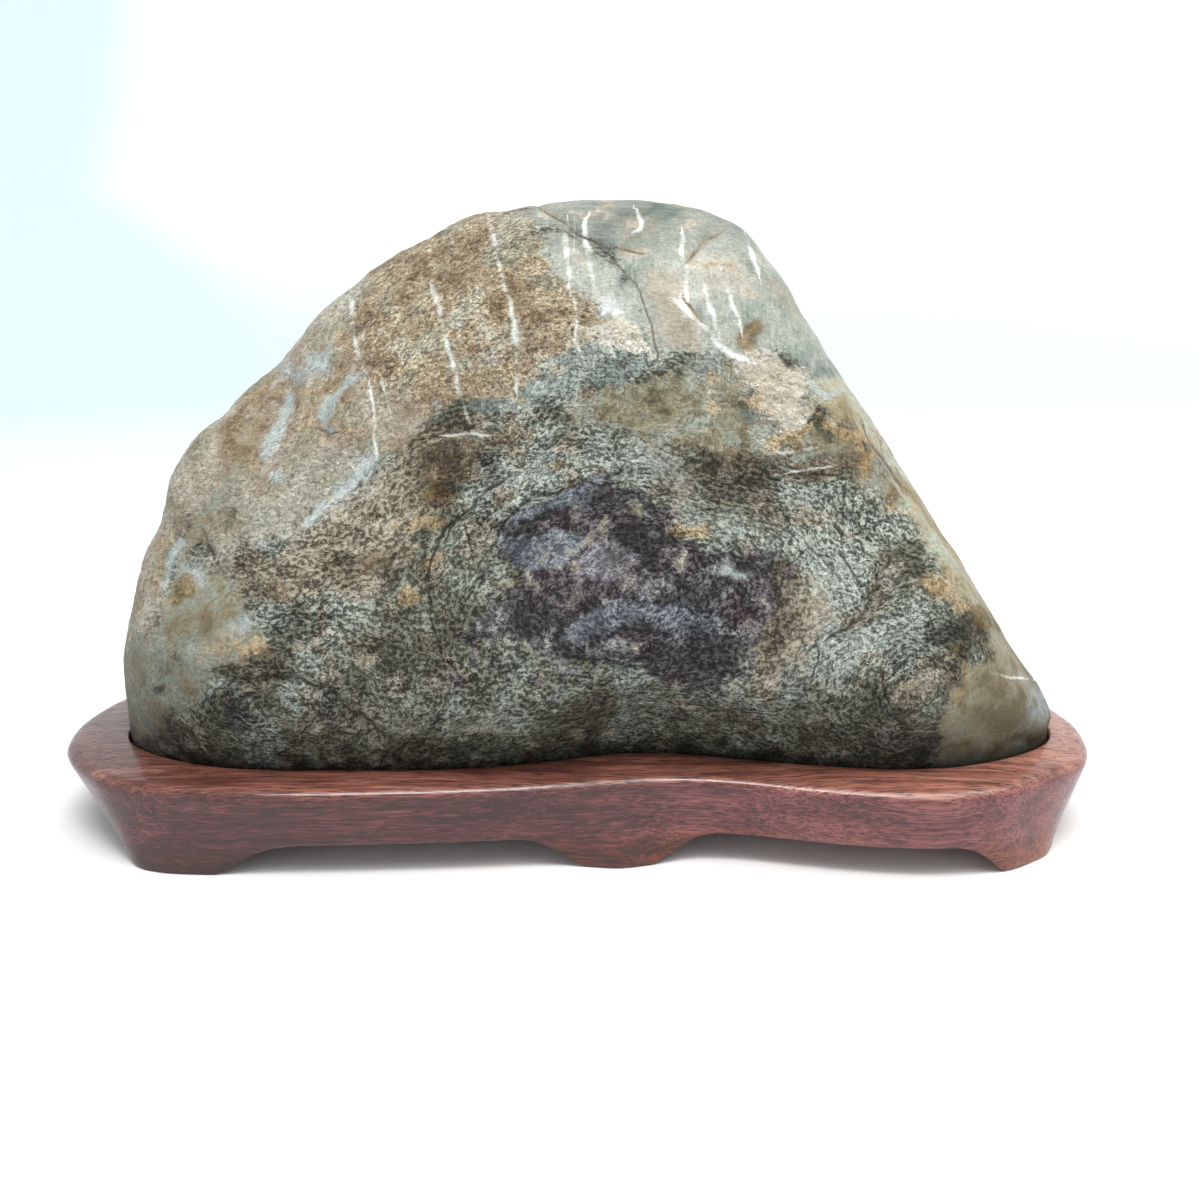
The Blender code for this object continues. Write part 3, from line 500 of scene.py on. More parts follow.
def line_field(place, line):
    """Signed distance to a line of (x, y, width), and its half width there."""
    nearest = np.full(len(place), 1e9)
    half = np.zeros(len(place))
    for start, end in zip(line, line[1:]):
        offset, along, share, distance = from_segment(place, start, end)
        side = np.sign(offset[:, 0] * along[1] - offset[:, 1] * along[0])
        closer = distance < np.abs(nearest)
        nearest = np.where(closer, distance * np.where(side == 0, 1, side), nearest)
        half = np.where(closer, (start[2] + (end[2] - start[2]) * share) / 2.0, half)
    return nearest, half


def lines_field(place, lines, reach=6.5):
    """Signed distance to the nearest line, and its half width, which ends within a short reach."""
    nearest = np.full(len(place), 1e3)
    half = np.zeros(len(place))
    for line in lines:
        distance, width = line_field(place, line)
        closer = np.abs(distance) < np.abs(nearest)
        nearest = np.where(closer, distance, nearest)
        half = np.where(closer, width, half)
    close = np.clip((reach + half - np.abs(nearest)) / 2.0, 0.0, 1.0)
    return np.clip(nearest, -12, 12) * PICTURE_MM, half * close * PICTURE_MM


def zone_weight(place, corners, edge):
    """1 inside a closed outline, fading to 0 across its edge."""
    nearest = np.full(len(place), 1e9)
    inside = np.zeros(len(place), bool)
    for (ax, ay), (bx, by) in zip(corners, corners[1:] + corners[:1]):
        nearest = np.minimum(nearest, from_segment(place, (ax, ay), (bx, by))[3])
        crosses = (ay > place[:, 1]) != (by > place[:, 1])
        meet = ax + (place[:, 1] - ay) * (bx - ax) / (by - ay if by != ay else 1.0)
        inside ^= crosses & (place[:, 0] < meet)
    return smooth_step(np.where(inside, nearest, -nearest), -edge, edge)


def patch_weight(place, x, y, across, down, strength, turn=0):
    """A soft oval spot, full at its middle."""
    angle = math.radians(turn)
    offset = place - np.array([x, y])
    first = offset[:, 0] * math.cos(angle) - offset[:, 1] * math.sin(angle)
    second = offset[:, 0] * math.sin(angle) + offset[:, 1] * math.cos(angle)
    return strength * np.exp(-0.8 * ((first / across) ** 2 + (second / down) ** 2))


def streak_weight(place, line):
    """A soft band along a line."""
    distance, half = line_field(place, line)
    return np.exp(-0.5 * (distance / np.maximum(half, 1.5)) ** 2)


def mineral_weights(points):
    """How much of each mineral or stain every point shows, from 0 to 1."""
    place, drift = drawn_place(points)
    for reach, *noise in EDGE_WANDERS:
        place = place + reach * noise_pair(points, *noise)
    behind = smooth_step(drift, 0.15, 0.8)
    place = place + WANDER_BEHIND * behind[:, None] * noise_pair(points, 34.0, 15, 2)
    weights = {}
    for name in {**ZONES, **PATCHES}:
        found = [zone_weight(place, zone, ZONE_EDGES[name]) for zone in ZONES.get(name, [])]
        found += [patch_weight(place, *patch) for patch in PATCHES.get(name, [])]
        found += [streak_weight(place, streak) for streak in STREAKS.get(name, [])]
        weights[name] = np.max([*found, np.zeros(len(place))], axis=0)
    for name, fading in FADES_BEHIND.items():
        weights[name] = weights[name] * (1.0 - fading * behind)
    return weights


def soft_fields(points):
    """Noises from 0 to 1, from clumps to clouds, for the material to read."""
    fields = []
    for size, seed in FIELD_NOISES:
        bend = np.stack([noise_at(points, 1.3 * size, seed + k, 2) for k in (3, 5, 7)], axis=1)
        fields.append(0.5 + 0.26 * noise_at(points + 0.5 * size * bend, size, seed))
    return fields


def bedding(points):
    """Distance in millimetres across the rock's thin beds, which wrap round its cores."""
    x, z = points[:, 0], points[:, 2]
    fields = [np.hypot((x - at_x) / longer, z - at_z) + first for at_x, at_z, longer, first in BED_CORES]
    blended = -BED_BLEND * np.log(np.exp(-np.array(fields) / BED_BLEND).sum(axis=0))
    blended += BED_LEAN * points[:, 1]
    return blended + 3.0 * noise_at(points, 18.0, 21) + 1.0 * noise_at(points, 5.0, 22, 2)


# ======== stone form
def vertex_values(mesh, what):
    values = np.empty(len(mesh.vertices) * 3, np.float32)
    mesh.vertices.foreach_get(what, values)
    return values.reshape(-1, 3).astype(float)


def placed(name, data):
    """A new object in the scene."""
    obj = bpy.data.objects.new(name, data)
    bpy.context.scene.collection.objects.link(obj)
    return obj


def applied(obj):
    """The object with its modifiers made real."""
    graph = bpy.context.evaluated_depsgraph_get()
    mesh = bpy.data.meshes.new_from_object(obj.evaluated_get(graph))
    obj.modifiers.clear()
    obj.data = mesh
    return obj


def even_stone(node):
    """A fine, evenly spaced copy of the stone's solid with its flat facets softened."""
    mesh = node.data.copy()
    mesh.materials.clear()
    stone = placed("stone_surface", mesh)
    remesh = stone.modifiers.new("even spacing", "REMESH")
    remesh.mode = "VOXEL"
    remesh.voxel_size = STONE_SPACING * MM
    soften = stone.modifiers.new("soften facets", "SMOOTH")
    soften.factor = 0.5
    soften.iterations = FACET_SOFTENING
    bpy.context.view_layer.update()
    return applied(stone)


def groove_depth(place, lines, half_width, depth):
    """Soft-sided grooves along lines, in picture units, as millimetres of depth."""
    found = np.zeros(len(place))
    for line in lines:
        distance, half = line_field(place, line)
        width = half_width + half
        found = np.maximum(found, depth * np.exp(-((distance / width) ** 2)) * np.clip(half, 0.5, 1.5))
    return found


def stone_relief(points, weights, beds):
    """Outward movement of the surface in millimetres: beds, pits, cracks and swells."""
    place, drift = drawn_place(points)
    ochre = weights["ochre"]
    jade = np.maximum(weights["jade"], weights["smooth"])
    schist = np.clip(1.0 - ochre - jade, 0.0, 1.0)
    above_stand = smooth_step(points[:, 2], *STAND_TOP)
    relief = 0.55 * noise_at(points, 22.0, 31, 2) + 0.22 * noise_at(points, 7.0, 32, 2)
    # thin beds weather back between harder ones
    bed = beds / BED_STEP + 0.35 * noise_at(points, 9.0, 33, 2)
    step = (bed - np.floor(bed)) ** 2.2
    relief += schist * (0.75 * step - 0.3) * (0.55 + 0.45 * noise_at(points, 16.0, 34, 2))
    fine_bed = beds / FINE_BED_STEP + 0.3 * noise_at(points, 4.0, 35, 1)
    relief += schist * 0.22 * (np.abs(fine_bed - np.floor(fine_bed) - 0.5) * 2.0 - 0.5)
    # pits of the grainy ochre part
    for spacing, seed, wide, empty, deep in PITS:
        distance, number = nearest_seed(points, spacing, seed)
        relief -= ochre * deep * np.exp(-((distance / wide) ** 2)) * (number > empty)
    # each part's own roughness
    for part, amount, size, seed in ((schist, 0.28, 3.0, 36), (ochre, 0.16, 2.6, 45), (jade, 0.08, 4.0, 46)):
        relief += part * amount * noise_at(points, size, seed, 2)
    front = 1.0 - drift
    for x, y, reach, amount in SWELLS:
        away = ((place[:, 0] - x) ** 2 + (place[:, 1] - y) ** 2) / reach**2
        relief += front * amount * np.exp(-away)
    relief -= front * groove_depth(place, LINES["cracks_a"] + LINES["cracks_b"], *CRACK_GROOVE)
    relief += front * groove_depth(place, LINES["veins_a"], *VEIN_RIDGE)
    return relief * above_stand


def keep_inside(points):
    """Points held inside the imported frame's box."""
    low, high = (np.array(tuple(corner)) / MM for corner in packed_box)
    return np.clip(points, low, high)


def set_vectors(mesh, name, *columns):
    """Stores up to three numbers for every point of the mesh, for the material to read."""
    packed = np.zeros((len(mesh.vertices), 3), np.float32)
    for i, column in enumerate(columns):
        packed[:, i] = column
    attribute = mesh.attributes.new(name, "FLOAT_VECTOR", "POINT")
    attribute.data.foreach_set("vector", packed.ravel())


def shade_smooth(mesh):
    mesh.polygons.foreach_set("use_smooth", np.ones(len(mesh.polygons), bool))
    mesh.update()


def build_stone(node):
    stone = even_stone(node)
    mesh = stone.data
    points = vertex_values(mesh, "co") / MM
    outward = vertex_values(mesh, "normal")
    weights = mineral_weights(points)
    beds = bedding(points)
    moved = keep_inside(points + outward * stone_relief(points, weights, beds)[:, None])
    mesh.vertices.foreach_set("co", (moved * MM).astype(np.float32).ravel())
    shade_smooth(mesh)
    place, drift = drawn_place(points)
    place = place + 1.5 * noise_pair(points, 5.0, 51, 2)
    fade = 1.0 - 0.8 * smooth_step(drift, 0.1, 0.6)
    for name, lines in LINES.items():
        distance, half = lines_field(place, lines)
        set_vectors(mesh, name, distance, half * fade)
    for name, group in STORED_WEIGHTS.items():
        set_vectors(mesh, name, *[weights[mineral] for mineral in group])
    set_vectors(mesh, "beds", beds)
    set_vectors(mesh, "fields", *soft_fields(points))
    mesh.materials.append(stone_material())
    return stone


# ======== stand form
def smooth_outline(corners):
    """Points along a smooth closed curve through the corners."""
    points = []
    total = len(corners)
    for i in range(total):
        p0, p1, p2, p3 = [np.array(corners[(i + k) % total], float) for k in (-1, 0, 1, 2)]
        for t in np.linspace(0.0, 1.0, POINTS_PER_SPAN, endpoint=False):
            bend = 2 * p1 + (p2 - p0) * t + (2 * p0 - 5 * p1 + 4 * p2 - p3) * t**2
            points.append(0.5 * (bend + (3 * p1 - p0 - 3 * p2 + p3) * t**3))
    return np.array(points)


def outline_normals(outline):
    along = np.roll(outline, -1, axis=0) - np.roll(outline, 1, axis=0)
    along /= np.linalg.norm(along, axis=1)[:, None]
    return np.stack([-along[:, 1], along[:, 0]], axis=1)


def arch_height(values, arches, ease=1.6):
    """Height of the underside where the arches pass, with eased corners."""
    height = np.zeros(len(values))
    for arch in arches:
        at, up = np.array(arch).T
        eased = [np.interp(values + shift, at, up, 0.0, 0.0) for shift in np.linspace(-ease, ease, 5)]
        height = np.maximum(height, np.mean(eased, axis=0))
    return height


def underside(plan):
    return np.maximum(arch_height(plan[:, 0], FRONT_ARCHES), arch_height(plan[:, 1], [SIDE_ARCH]))


def middle_line(outline):
    """For each point of an outline, the point of the stand's middle line that it faces."""
    across = np.clip(outline[:, 0] * MIDDLE_SHARE, -MIDDLE_END, MIDDLE_END)
    return np.stack([across, np.zeros(len(outline))], axis=1)


def pocket_outline(outline, stone):
    """The pocket's wall: the stone's widest outline inside the pocket with an even gap."""
    graph = bpy.context.evaluated_depsgraph_get()
    tree = BVHTree.FromObject(stone, graph)
    anchors = middle_line(outline)
    reach = []
    for anchor, point in zip(anchors, outline):
        ray = Vector((*(point - anchor), 0.0)).normalized()
        widest = 0.0
        for height in POCKET_LEVELS:
            start = Vector((*anchor, height)) + ray * RAY_START
            hit = tree.ray_cast(start * MM, -ray)[0]
            if hit is not None:
                widest = max(widest, (hit.xy / MM - Vector(anchor)).length)
        reach.append(widest)
    reach = np.array(reach)
    for _ in range(POCKET_SMOOTHING):
        around = (np.roll(reach, 1) + np.roll(reach, -1)) / 2.0
        reach = np.maximum(reach, around * 0.5 + reach * 0.5)
    toward = outline - anchors
    toward /= np.linalg.norm(toward, axis=1)[:, None]
    return anchors + toward * (reach + POCKET_GAP)[:, None]


def wall_plan(outline, ground, heights):
    share = np.interp(heights, WALL_HEIGHTS, WALL_SHARES)
    return outline + (ground - outline) * share[:, None]


def stand_rings(outline, ground, pocket):
    """Rings of (plan, heights) from the middle of the underside, out, up and into the pocket."""
    outward = outline_normals(outline)
    foot = np.zeros(len(outline))
    for _ in range(30):
        foot = 0.5 * foot + 0.5 * underside(wall_plan(outline, ground, foot))
    rings = []
    edge = wall_plan(outline, ground, foot) - outward * FOOT_BEVEL
    anchors = middle_line(outline)
    for share in UNDERSIDE_SHARES:
        plan = edge + (anchors - edge) * share
        rings.append((plan, underside(plan)))
    rings.append((edge, underside(edge)))
    rings.append((edge + outward * 0.5, foot + 0.2))
    for share in WALL_RING_SHARES:
        heights = foot + FOOT_BEVEL + (RIM_START - foot - FOOT_BEVEL) * share
        rings.append((wall_plan(outline, ground, heights), heights))
    for inward, height in RIM_EDGE:
        rings.append((outline - outward * inward, height))
    outer = outline - outward * RIM_EDGE[-1][0]
    lip = pocket - outer
    width = np.linalg.norm(lip, axis=1)[:, None]
    lip /= width
    for share in (0.25, 0.5, 0.75):
        rings.append((outer + lip * (width - 1.0) * share, STAND_HEIGHT + RIM_CROWN * math.sin(share * 1.6)))
    for inward, height in LIP_EDGE:
        rings.append((pocket - lip * inward, STAND_HEIGHT + height))
    rings.append((pocket, POCKET_MIDDLE))
    rings.append((pocket, POCKET_FLOOR))
    for share in (0.3, 0.7, 1.0):
        rings.append((pocket + (middle_line(outline) - pocket) * share, POCKET_FLOOR))
    return rings


def build_stand(stone):
    outline = smooth_outline([corner[:2] for corner in OUTLINES])
    ground = smooth_outline([corner[2:] for corner in OUTLINES])
    rings = stand_rings(outline, ground, pocket_outline(outline, stone))
    bm = bmesh.new()
    loops = []
    for plan, heights in rings:
        ring = keep_inside(np.column_stack([plan, np.broadcast_to(heights, len(plan))]))
        loops.append([bm.verts.new(Vector(point) * MM) for point in ring])
    for lower, upper in zip(loops, loops[1:]):
        for i in range(len(lower)):
            j = (i + 1) % len(lower)
            bm.faces.new((lower[i], lower[j], upper[j], upper[i]))
    bmesh.ops.remove_doubles(bm, verts=bm.verts[:], dist=0.00001)
    bmesh.ops.dissolve_degenerate(bm, edges=bm.edges[:], dist=0.000005)
    bmesh.ops.recalc_face_normals(bm, faces=bm.faces[:])
    if bm.calc_volume(signed=True) < 0:
        bmesh.ops.reverse_faces(bm, faces=bm.faces[:])
    mesh = bpy.data.meshes.new("stand_wood")
    bm.to_mesh(mesh)
    bm.free()
    stand = placed("stand_wood", mesh)
    shade_smooth(mesh)
    mesh.set_sharp_from_angle(angle=math.radians(50))
    mesh.materials.append(wood_material())
    return stand


# ======== materials
class Value:
    """A number in a node tree. Its sums, differences and products add the nodes that work them out."""

    def __init__(self, nodes, socket, middle=0.5):
        self.nodes = nodes
        self.socket = socket
        self.middle = middle  # noises lie round 0.5, while stored weights start from 0

    def __add__(self, other):
        return self.nodes.math("ADD", self, other)

    def __sub__(self, other):
        return self.nodes.math("SUBTRACT", self, other)

    def __rsub__(self, other):
        return self.nodes.math("SUBTRACT", other, self)

    def __mul__(self, other):
        return self.nodes.math("MULTIPLY", self, other)

    def __abs__(self):
        return self.nodes.math("ABSOLUTE", self)


class Nodes:
    """Short calls for building a material's node tree."""

    def __init__(self, name):
        self.material = bpy.data.materials.new(name)
        self.material.use_nodes = True
        self.tree = self.material.node_tree
        self.shader = self.tree.nodes["Principled BSDF"]

    def feed(self, socket, value):
        """Links a value to a socket, or sets a constant on it."""
        if isinstance(value, Value):
            value = value.socket
        if isinstance(value, bpy.types.NodeSocket):
            self.tree.links.new(value, socket)
        else:
            socket.default_value = value

    def feed_named(self, node, given):
        for name, value in given.items():
            self.feed(node.inputs[name], value)

    def add(self, kind, *values, **settings):
        """A new node, with its first sockets fed in their order."""
        node = self.tree.nodes.new(kind)
        for key, setting in settings.items():
            setattr(node, key, setting)
        for socket, value in zip(node.inputs, values):
            self.feed(socket, value)
        return node

    def math(self, operation, *values, clamp=False):
        node = self.add("ShaderNodeMath", *values, operation=operation, use_clamp=clamp)
        return Value(self, node.outputs[0])

    def most(self, first, *others):
        """The largest of the values."""
        for other in others:
            first = self.math("MAXIMUM", first, other)
        return first

    def sum(self, *terms):
        """Adds (value, factor) pairs."""
        total = 0.0
        for value, factor in terms:
            total = self.math("MULTIPLY_ADD", value, factor, total)
        return total

    def spread(self, *terms):
        """Adds (value, factor) pairs so that fields at their middle value give 0.5."""
        return self.sum(*terms) + (0.5 - sum(value.middle * factor for value, factor in terms))

    def step(self, value, low, high):
        """A smooth step from 0 at low to 1 at high."""
        node = self.add("ShaderNodeMapRange", value, low, high, interpolation_type="SMOOTHSTEP")
        return Value(self, node.outputs[0])

    def stretched(self, vector, scale):
        return self.add("ShaderNodeVectorMath", vector, scale, operation="MULTIPLY").outputs[0]

    def position(self):
        """Place on the object in millimetres."""
        return self.stretched(self.add("ShaderNodeTexCoord").outputs["Object"], (1.0 / MM,) * 3)

    def joined(self, x, y, z):
        return self.add("ShaderNodeCombineXYZ", x, y, z).outputs[0]

    def parts(self, vector, middle=0.5):
        node = self.add("ShaderNodeSeparateXYZ", vector)
        return [Value(self, part, middle) for part in node.outputs]

    def stored(self, name, middle=0.5):
        """The numbers kept on the mesh under this name."""
        return self.parts(self.add("ShaderNodeAttribute", attribute_name=name).outputs["Vector"], middle)

    def noise(self, vector, size, detail, roughness, distortion=0.0):
        """Noise from 0 to 1 with features of that size in millimetres."""
        node = self.add("ShaderNodeTexNoise")
        self.feed_named(node, {"Vector": vector, "Scale": 1.0 / size, "Detail": detail})
        self.feed_named(node, {"Roughness": roughness, "Distortion": distortion})
        return Value(self, node.outputs[0])

    def ramp(self, value, *stops):
        """Colours along a value. A stop is its place and its red, green and blue, in thousandths."""
        node = self.add("ShaderNodeValToRGB", value)
        elements = node.color_ramp.elements
        while len(elements) < len(stops):
            elements.new(0.5)
        for element, stop in zip(elements, stops):
            element.position, *colour = [part / 1000 for part in stop]
            element.color = (*colour, 1.0)
        return node.outputs[0]

    def mix(self, share, first, second, blend="MIX"):
        node = self.add("ShaderNodeMix", share, data_type="RGBA", blend_type=blend)
        for socket, colour in ((node.inputs[6], first), (node.inputs[7], second)):
            self.feed(socket, (*colour, 1.0) if isinstance(colour, tuple) else colour)
        return node.outputs[2]

    def dimmed(self, colour, share):
        return self.mix(1.0, colour, self.joined(share, share, share), "MULTIPLY")

    def finish(self, colour, roughness, height, bump_size, gloss):
        """The material, with its colour, its relief of that many metres and its gloss."""
        bump = self.add("ShaderNodeBump")
        self.feed_named(bump, {"Strength": 1.0, "Distance": bump_size, "Height": height})
        self.feed_named(self.shader, {"Base Color": colour, "Roughness": roughness, **gloss})
        self.feed(self.shader.inputs["Normal"], bump.outputs[0])
        return self.material


class StoneNodes(Nodes):
    """The stone's node tree, with the stored weights and the fields that its minerals share."""

    def __init__(self):
        super().__init__("veined_schist")
        self.place = self.position()
        self.x, self.y, self.z = self.parts(self.place)
        self.weights = {}
        for name, group in STORED_WEIGHTS.items():
            self.weights.update(zip(group, self.stored(name, middle=0.0)))
        beds = self.stored("beds")[0]
        bedded = self.joined(self.x * 0.62, self.y * 0.62 + beds * 0.62, self.z * 0.70)
        layered = self.joined(self.x * 0.16, self.y * 0.16 + beds * 0.85, self.z * 0.16)
        # fields from 0 to 1, from the finest grain to broad clouds
        self.speck = self.noise(self.place, 0.55, 2.0, 0.7)
        self.grain = self.noise(self.place, 1.4, 3.0, 0.7)
        self.flecks = self.noise(bedded, 0.85, 3.0, 0.7, 0.25)
        self.flake = self.flecks * 0.58 + self.step(self.flecks, 0.45, 0.55) * 0.42
        self.lamina = self.noise(layered, 1.6, 2.0, 0.65)
        self.clump, self.tint, self.cloud = self.stored("fields")
        # dark seams and light lips where a noise crosses a level
        self.coarse = self.noise(bedded, 3.3, 3.0, 0.72, 0.5)
        apart = self.add("ShaderNodeVectorMath", bedded, (30.0, -30.0, 15.0), operation="ADD")
        self.fine = self.noise(apart.outputs[0], 1.5, 2.0, 0.65)
        self.coarse_seam = self.ridges(self.coarse, 0.5, 0.018)
        self.ragged = self.sum((self.clump, 1.3), (self.grain, 0.45), (self.tint, 0.9)) - 1.325
        self.wobble = (self.grain - 0.5) * 1.2
        self.mix_fields()

    def mix_fields(self):
        """Mixtures of the fields that several minerals read their colours by."""
        clump, tint, cloud, grain, flake = self.clump, self.tint, self.cloud, self.grain, self.flake
        self.mottle = self.spread(
            (clump, 0.8), (flake, 0.6), (self.lamina, 0.5), (cloud, 0.7),
            (self.weights["light"], 0.21), (self.weights["dark"], -0.20))
        self.plum_mottle = self.spread((clump, 1.3), (flake, 0.5), (tint, 1.0), (self.lamina, 0.4))
        self.grit = self.spread((grain, 1.0), (clump, 0.8), (cloud, 0.7), (self.speck, 0.7))
        self.gentle = self.spread((tint, 1.5), (cloud, 1.1), (grain, 0.45), (clump, 0.5))
        # fine fibres of the smooth faces: upright on the front and level on the crown
        upright = self.noise(self.stretched(self.place, (1.1, 0.5, 0.16)), 1.0, 2.0, 0.65)
        level = self.noise(self.stretched(self.place, (0.14, 0.3, 1.9)), 1.0, 2.0, 0.65)
        self.crown = self.step(self.z, 160.0, 171.0)
        fibre = level * self.crown + upright * (1.0 - self.crown)
        self.sheen = self.spread((fibre, 0.8), (clump, 0.45), (cloud, 0.9), (tint, 0.5), (self.speck, 0.35))

    def ridges(self, field, level, width):
        """1 on thin wandering lines where a noise crosses that level."""
        return 1.0 - self.step(abs(field - level), 0.0, width)

    def patch(self, name, ragged, low, high):
        """A stored weight made into a patch with an uneven edge."""
        return self.step(self.weights[name] + self.ragged * ragged, low, high)

    def lay(self, colour, *names):
        """Lays minerals or stains from the table over the colour so far."""
        for name in names:
            share, field, edge, *stops = LAYERS[name]
            layer = self.ramp(getattr(self, field), *stops)
            colour = self.mix(self.patch(name, *edge) * share, colour, layer)
        return colour

    def line_share(self, kind, spread=0.0):
        """1 on the stored lines of that kind, and less to the sides of them."""
        shares = []
        for name in (kind + "_a", kind + "_b"):
            distance, half, _ = self.stored(name)
            away = abs(distance + self.wobble)
            share = 1.0 - self.step(away, half * 0.1, half * 1.5 + (0.14 + spread))
            shares.append(share * self.math("GREATER_THAN", half, 0.03))
        return self.most(*shares)


def schist(n):
    """Green-grey schist of light and dark flakes, cool, olive or warm in turn."""
    cool = n.ramp(
        n.mottle, (200, 52, 56, 47), (360, 112, 120, 99), (500, 184, 200, 164), (640, 276, 310, 266),
        (840, 410, 458, 405))
    olive = n.ramp(
        n.mottle, (200, 50, 49, 34), (360, 102, 101, 71), (500, 158, 159, 116), (640, 228, 236, 180),
        (840, 350, 370, 298))
    warm = n.ramp(
        n.mottle, (220, 56, 44, 31), (400, 132, 109, 77), (560, 232, 196, 142), (780, 400, 352, 270))
    height = n.step(n.z, 30.0, 90.0)
    coolness = n.spread((n.cloud, 1.6), (n.tint, -0.8), (n.weights["light"], 0.34), (height, 0.16))
    warmth = n.spread((n.tint, 2.4), (n.cloud, -0.9), (n.clump, 0.6))
    colour = n.mix(n.step(coolness, 0.44, 0.86), olive, cool)
    colour = n.mix(n.step(warmth, 0.50, 0.78) * 0.60, colour, warm)
    return n.mix(n.patch("tan", 1.1, 0.28, 0.72) * 0.80, colour, warm)


def plum_core(n, colour):
    """The dark plum core with its maroon, mauve and slate patches."""
    colour = n.lay(colour, "plum")
    maroon = n.step(n.tint, 0.53, 0.66) * n.step(n.weights["plum"], 0.5, 1.0)
    colour = n.mix(
        maroon * 0.55, colour,
        n.ramp(n.plum_mottle, (250, 34, 18, 22), (550, 82, 50, 58), (800, 160, 122, 136)))
    return n.lay(colour, "mauve", "slate")


def ochre_crust(n, colour):
    """Ochre, crusty above and smoother and greyer towards the lower left, and the yellow beside it."""
    ochre = n.ramp(
        n.grit, (160, 160, 108, 64), (360, 285, 215, 136), (500, 382, 308, 204), (640, 480, 408, 284),
        (840, 590, 535, 412))
    grey = n.ramp(
        n.gentle, (160, 195, 148, 108), (400, 300, 243, 183), (580, 362, 308, 238), (840, 455, 418, 345))
    green = n.ramp(n.gentle, (200, 195, 205, 155), (500, 305, 322, 255), (800, 415, 435, 365))
    crust, mauve, yellow = [n.weights[name] for name in ("crust", "mauve", "yellow")]
    greyness = n.spread((n.tint, 2.0), (n.cloud, 1.2), (crust, -0.55), (mauve, 0.25), (yellow, -0.2))
    greenness = n.spread((n.cloud, 2.2), (n.tint, -1.4), (crust, -0.12))
    ochre = n.mix(n.step(greyness, 0.16, 0.62), ochre, grey)
    ochre = n.mix(n.step(greenness, 0.50, 0.74) * 0.55, ochre, green)
    colour = n.mix(n.patch("ochre", 1.1, 0.26, 0.74), colour, ochre)
    return n.lay(colour, "yellow")


def jade_cap(n, colour):
    """Smooth jade, tanned in places, with the teal, pink and cream at its foot."""
    jade = n.ramp(
        n.sheen, (200, 190, 232, 202), (400, 300, 340, 298), (560, 378, 408, 355), (760, 455, 478, 420))
    tanned = n.ramp(n.sheen, (250, 310, 262, 195), (500, 435, 392, 315), (750, 540, 505, 425))
    jade = n.mix(n.step(n.spread((n.tint, 2.2), (n.cloud, -1.0)), 0.52, 0.78) * 0.50, jade, tanned)
    jade = n.dimmed(jade, n.crown * -0.28 + 0.95)
    colour = n.mix(n.patch("jade", 0.9, 0.26, 0.72), colour, jade)
    return n.lay(colour, "teal", "pink", "cream")


def worn_faces(n, colour):
    """Water-smoothed faces, rusty in places and darker towards the stand, and pale blue quartz."""
    worn = n.ramp(
        n.gentle, (200, 255, 205, 125), (380, 350, 305, 208), (520, 370, 385, 316), (780, 430, 480, 435))
    rusty = n.step(n.spread((n.tint, 2.2), (n.clump, 0.8)), 0.52, 0.80)
    worn = n.mix(rusty * 0.42, worn, (0.345, 0.238, 0.140))
    # painted shade: the worn faces are darker low down and towards the left
    lit = n.step(n.z + n.tint * 16.0, 30.0, 80.0) * 0.33 + 0.77
    lit = lit * (n.step(n.x, -120.0, 10.0) * 0.30 + 0.70)
    worn = n.mix(1.0, worn, n.joined(lit, lit, lit * 0.95), "MULTIPLY")
    colour = n.mix(n.patch("smooth", 1.0, 0.24, 0.76) * 0.90, colour, worn)
    return n.lay(colour, "pale")


def calmness(n):
    """1 where the stone is smooth, and less where it is grainy or bedded."""
    calm = n.most(*[n.weights[name] * share for name, share in CALM_MINERALS.items()])
    even_ochre = n.math("SUBTRACT", n.weights["ochre"], n.weights["crust"], clamp=True)
    return n.math("MINIMUM", n.most(calm, even_ochre * 0.55), 1.0)


def grain_light(n, calm):
    """How light the grain makes each point. Its flakes and seams run through every mineral."""
    lips = n.ridges(n.coarse, 0.535, 0.030) * 0.42 + n.ridges(n.fine, 0.55, 0.040) * 0.34
    bright = n.sum((n.flake, 1.10), (n.speck, 1.2), (n.grain, 0.6), (n.lamina, 0.5)) + lips
    lively = (1.0 - calm * 0.72) * (n.step(n.cloud, 0.36, 0.62) * 0.55 + 0.66)
    light = n.most((bright - 1.84) * lively + 1.0, 0.12)
    ochre = n.weights["ochre"]
    seams = n.most(n.coarse_seam, n.ridges(n.fine, 0.5, 0.030) * 0.8)
    seams = seams * n.step(n.tint + n.clump * 0.6, 0.62, 0.86)
    seams = seams * n.most(1.0 - n.most(calm, ochre * 0.75), 0.12)
    # painted shade of small pits: darker grainy spots over the ochre, fewer on its smooth parts
    pits = n.step(n.grain, 0.41, 0.33) * n.math("SUBTRACT", ochre, calm * 0.6, clamp=True)
    pits = pits * n.step(n.clump + n.tint * 0.6, 0.76, 0.92)
    return light * (seams * -0.80 + 1.0) * (pits * -0.62 + 1.0)


def painted_low_shade(n):
    """Darker towards the stand: painted shade over the lower stone, and a painted contact shadow at its foot.
    """
    above_low_shade = n.step(n.z + n.clump * 22.0, 26.0, 98.0)
    above_foot_shadow = n.step(n.z + n.clump * 6.0, 28.6, 38.0)
    return (above_low_shade * 0.40 + 0.38) * (above_foot_shadow * 0.60 + 0.40)


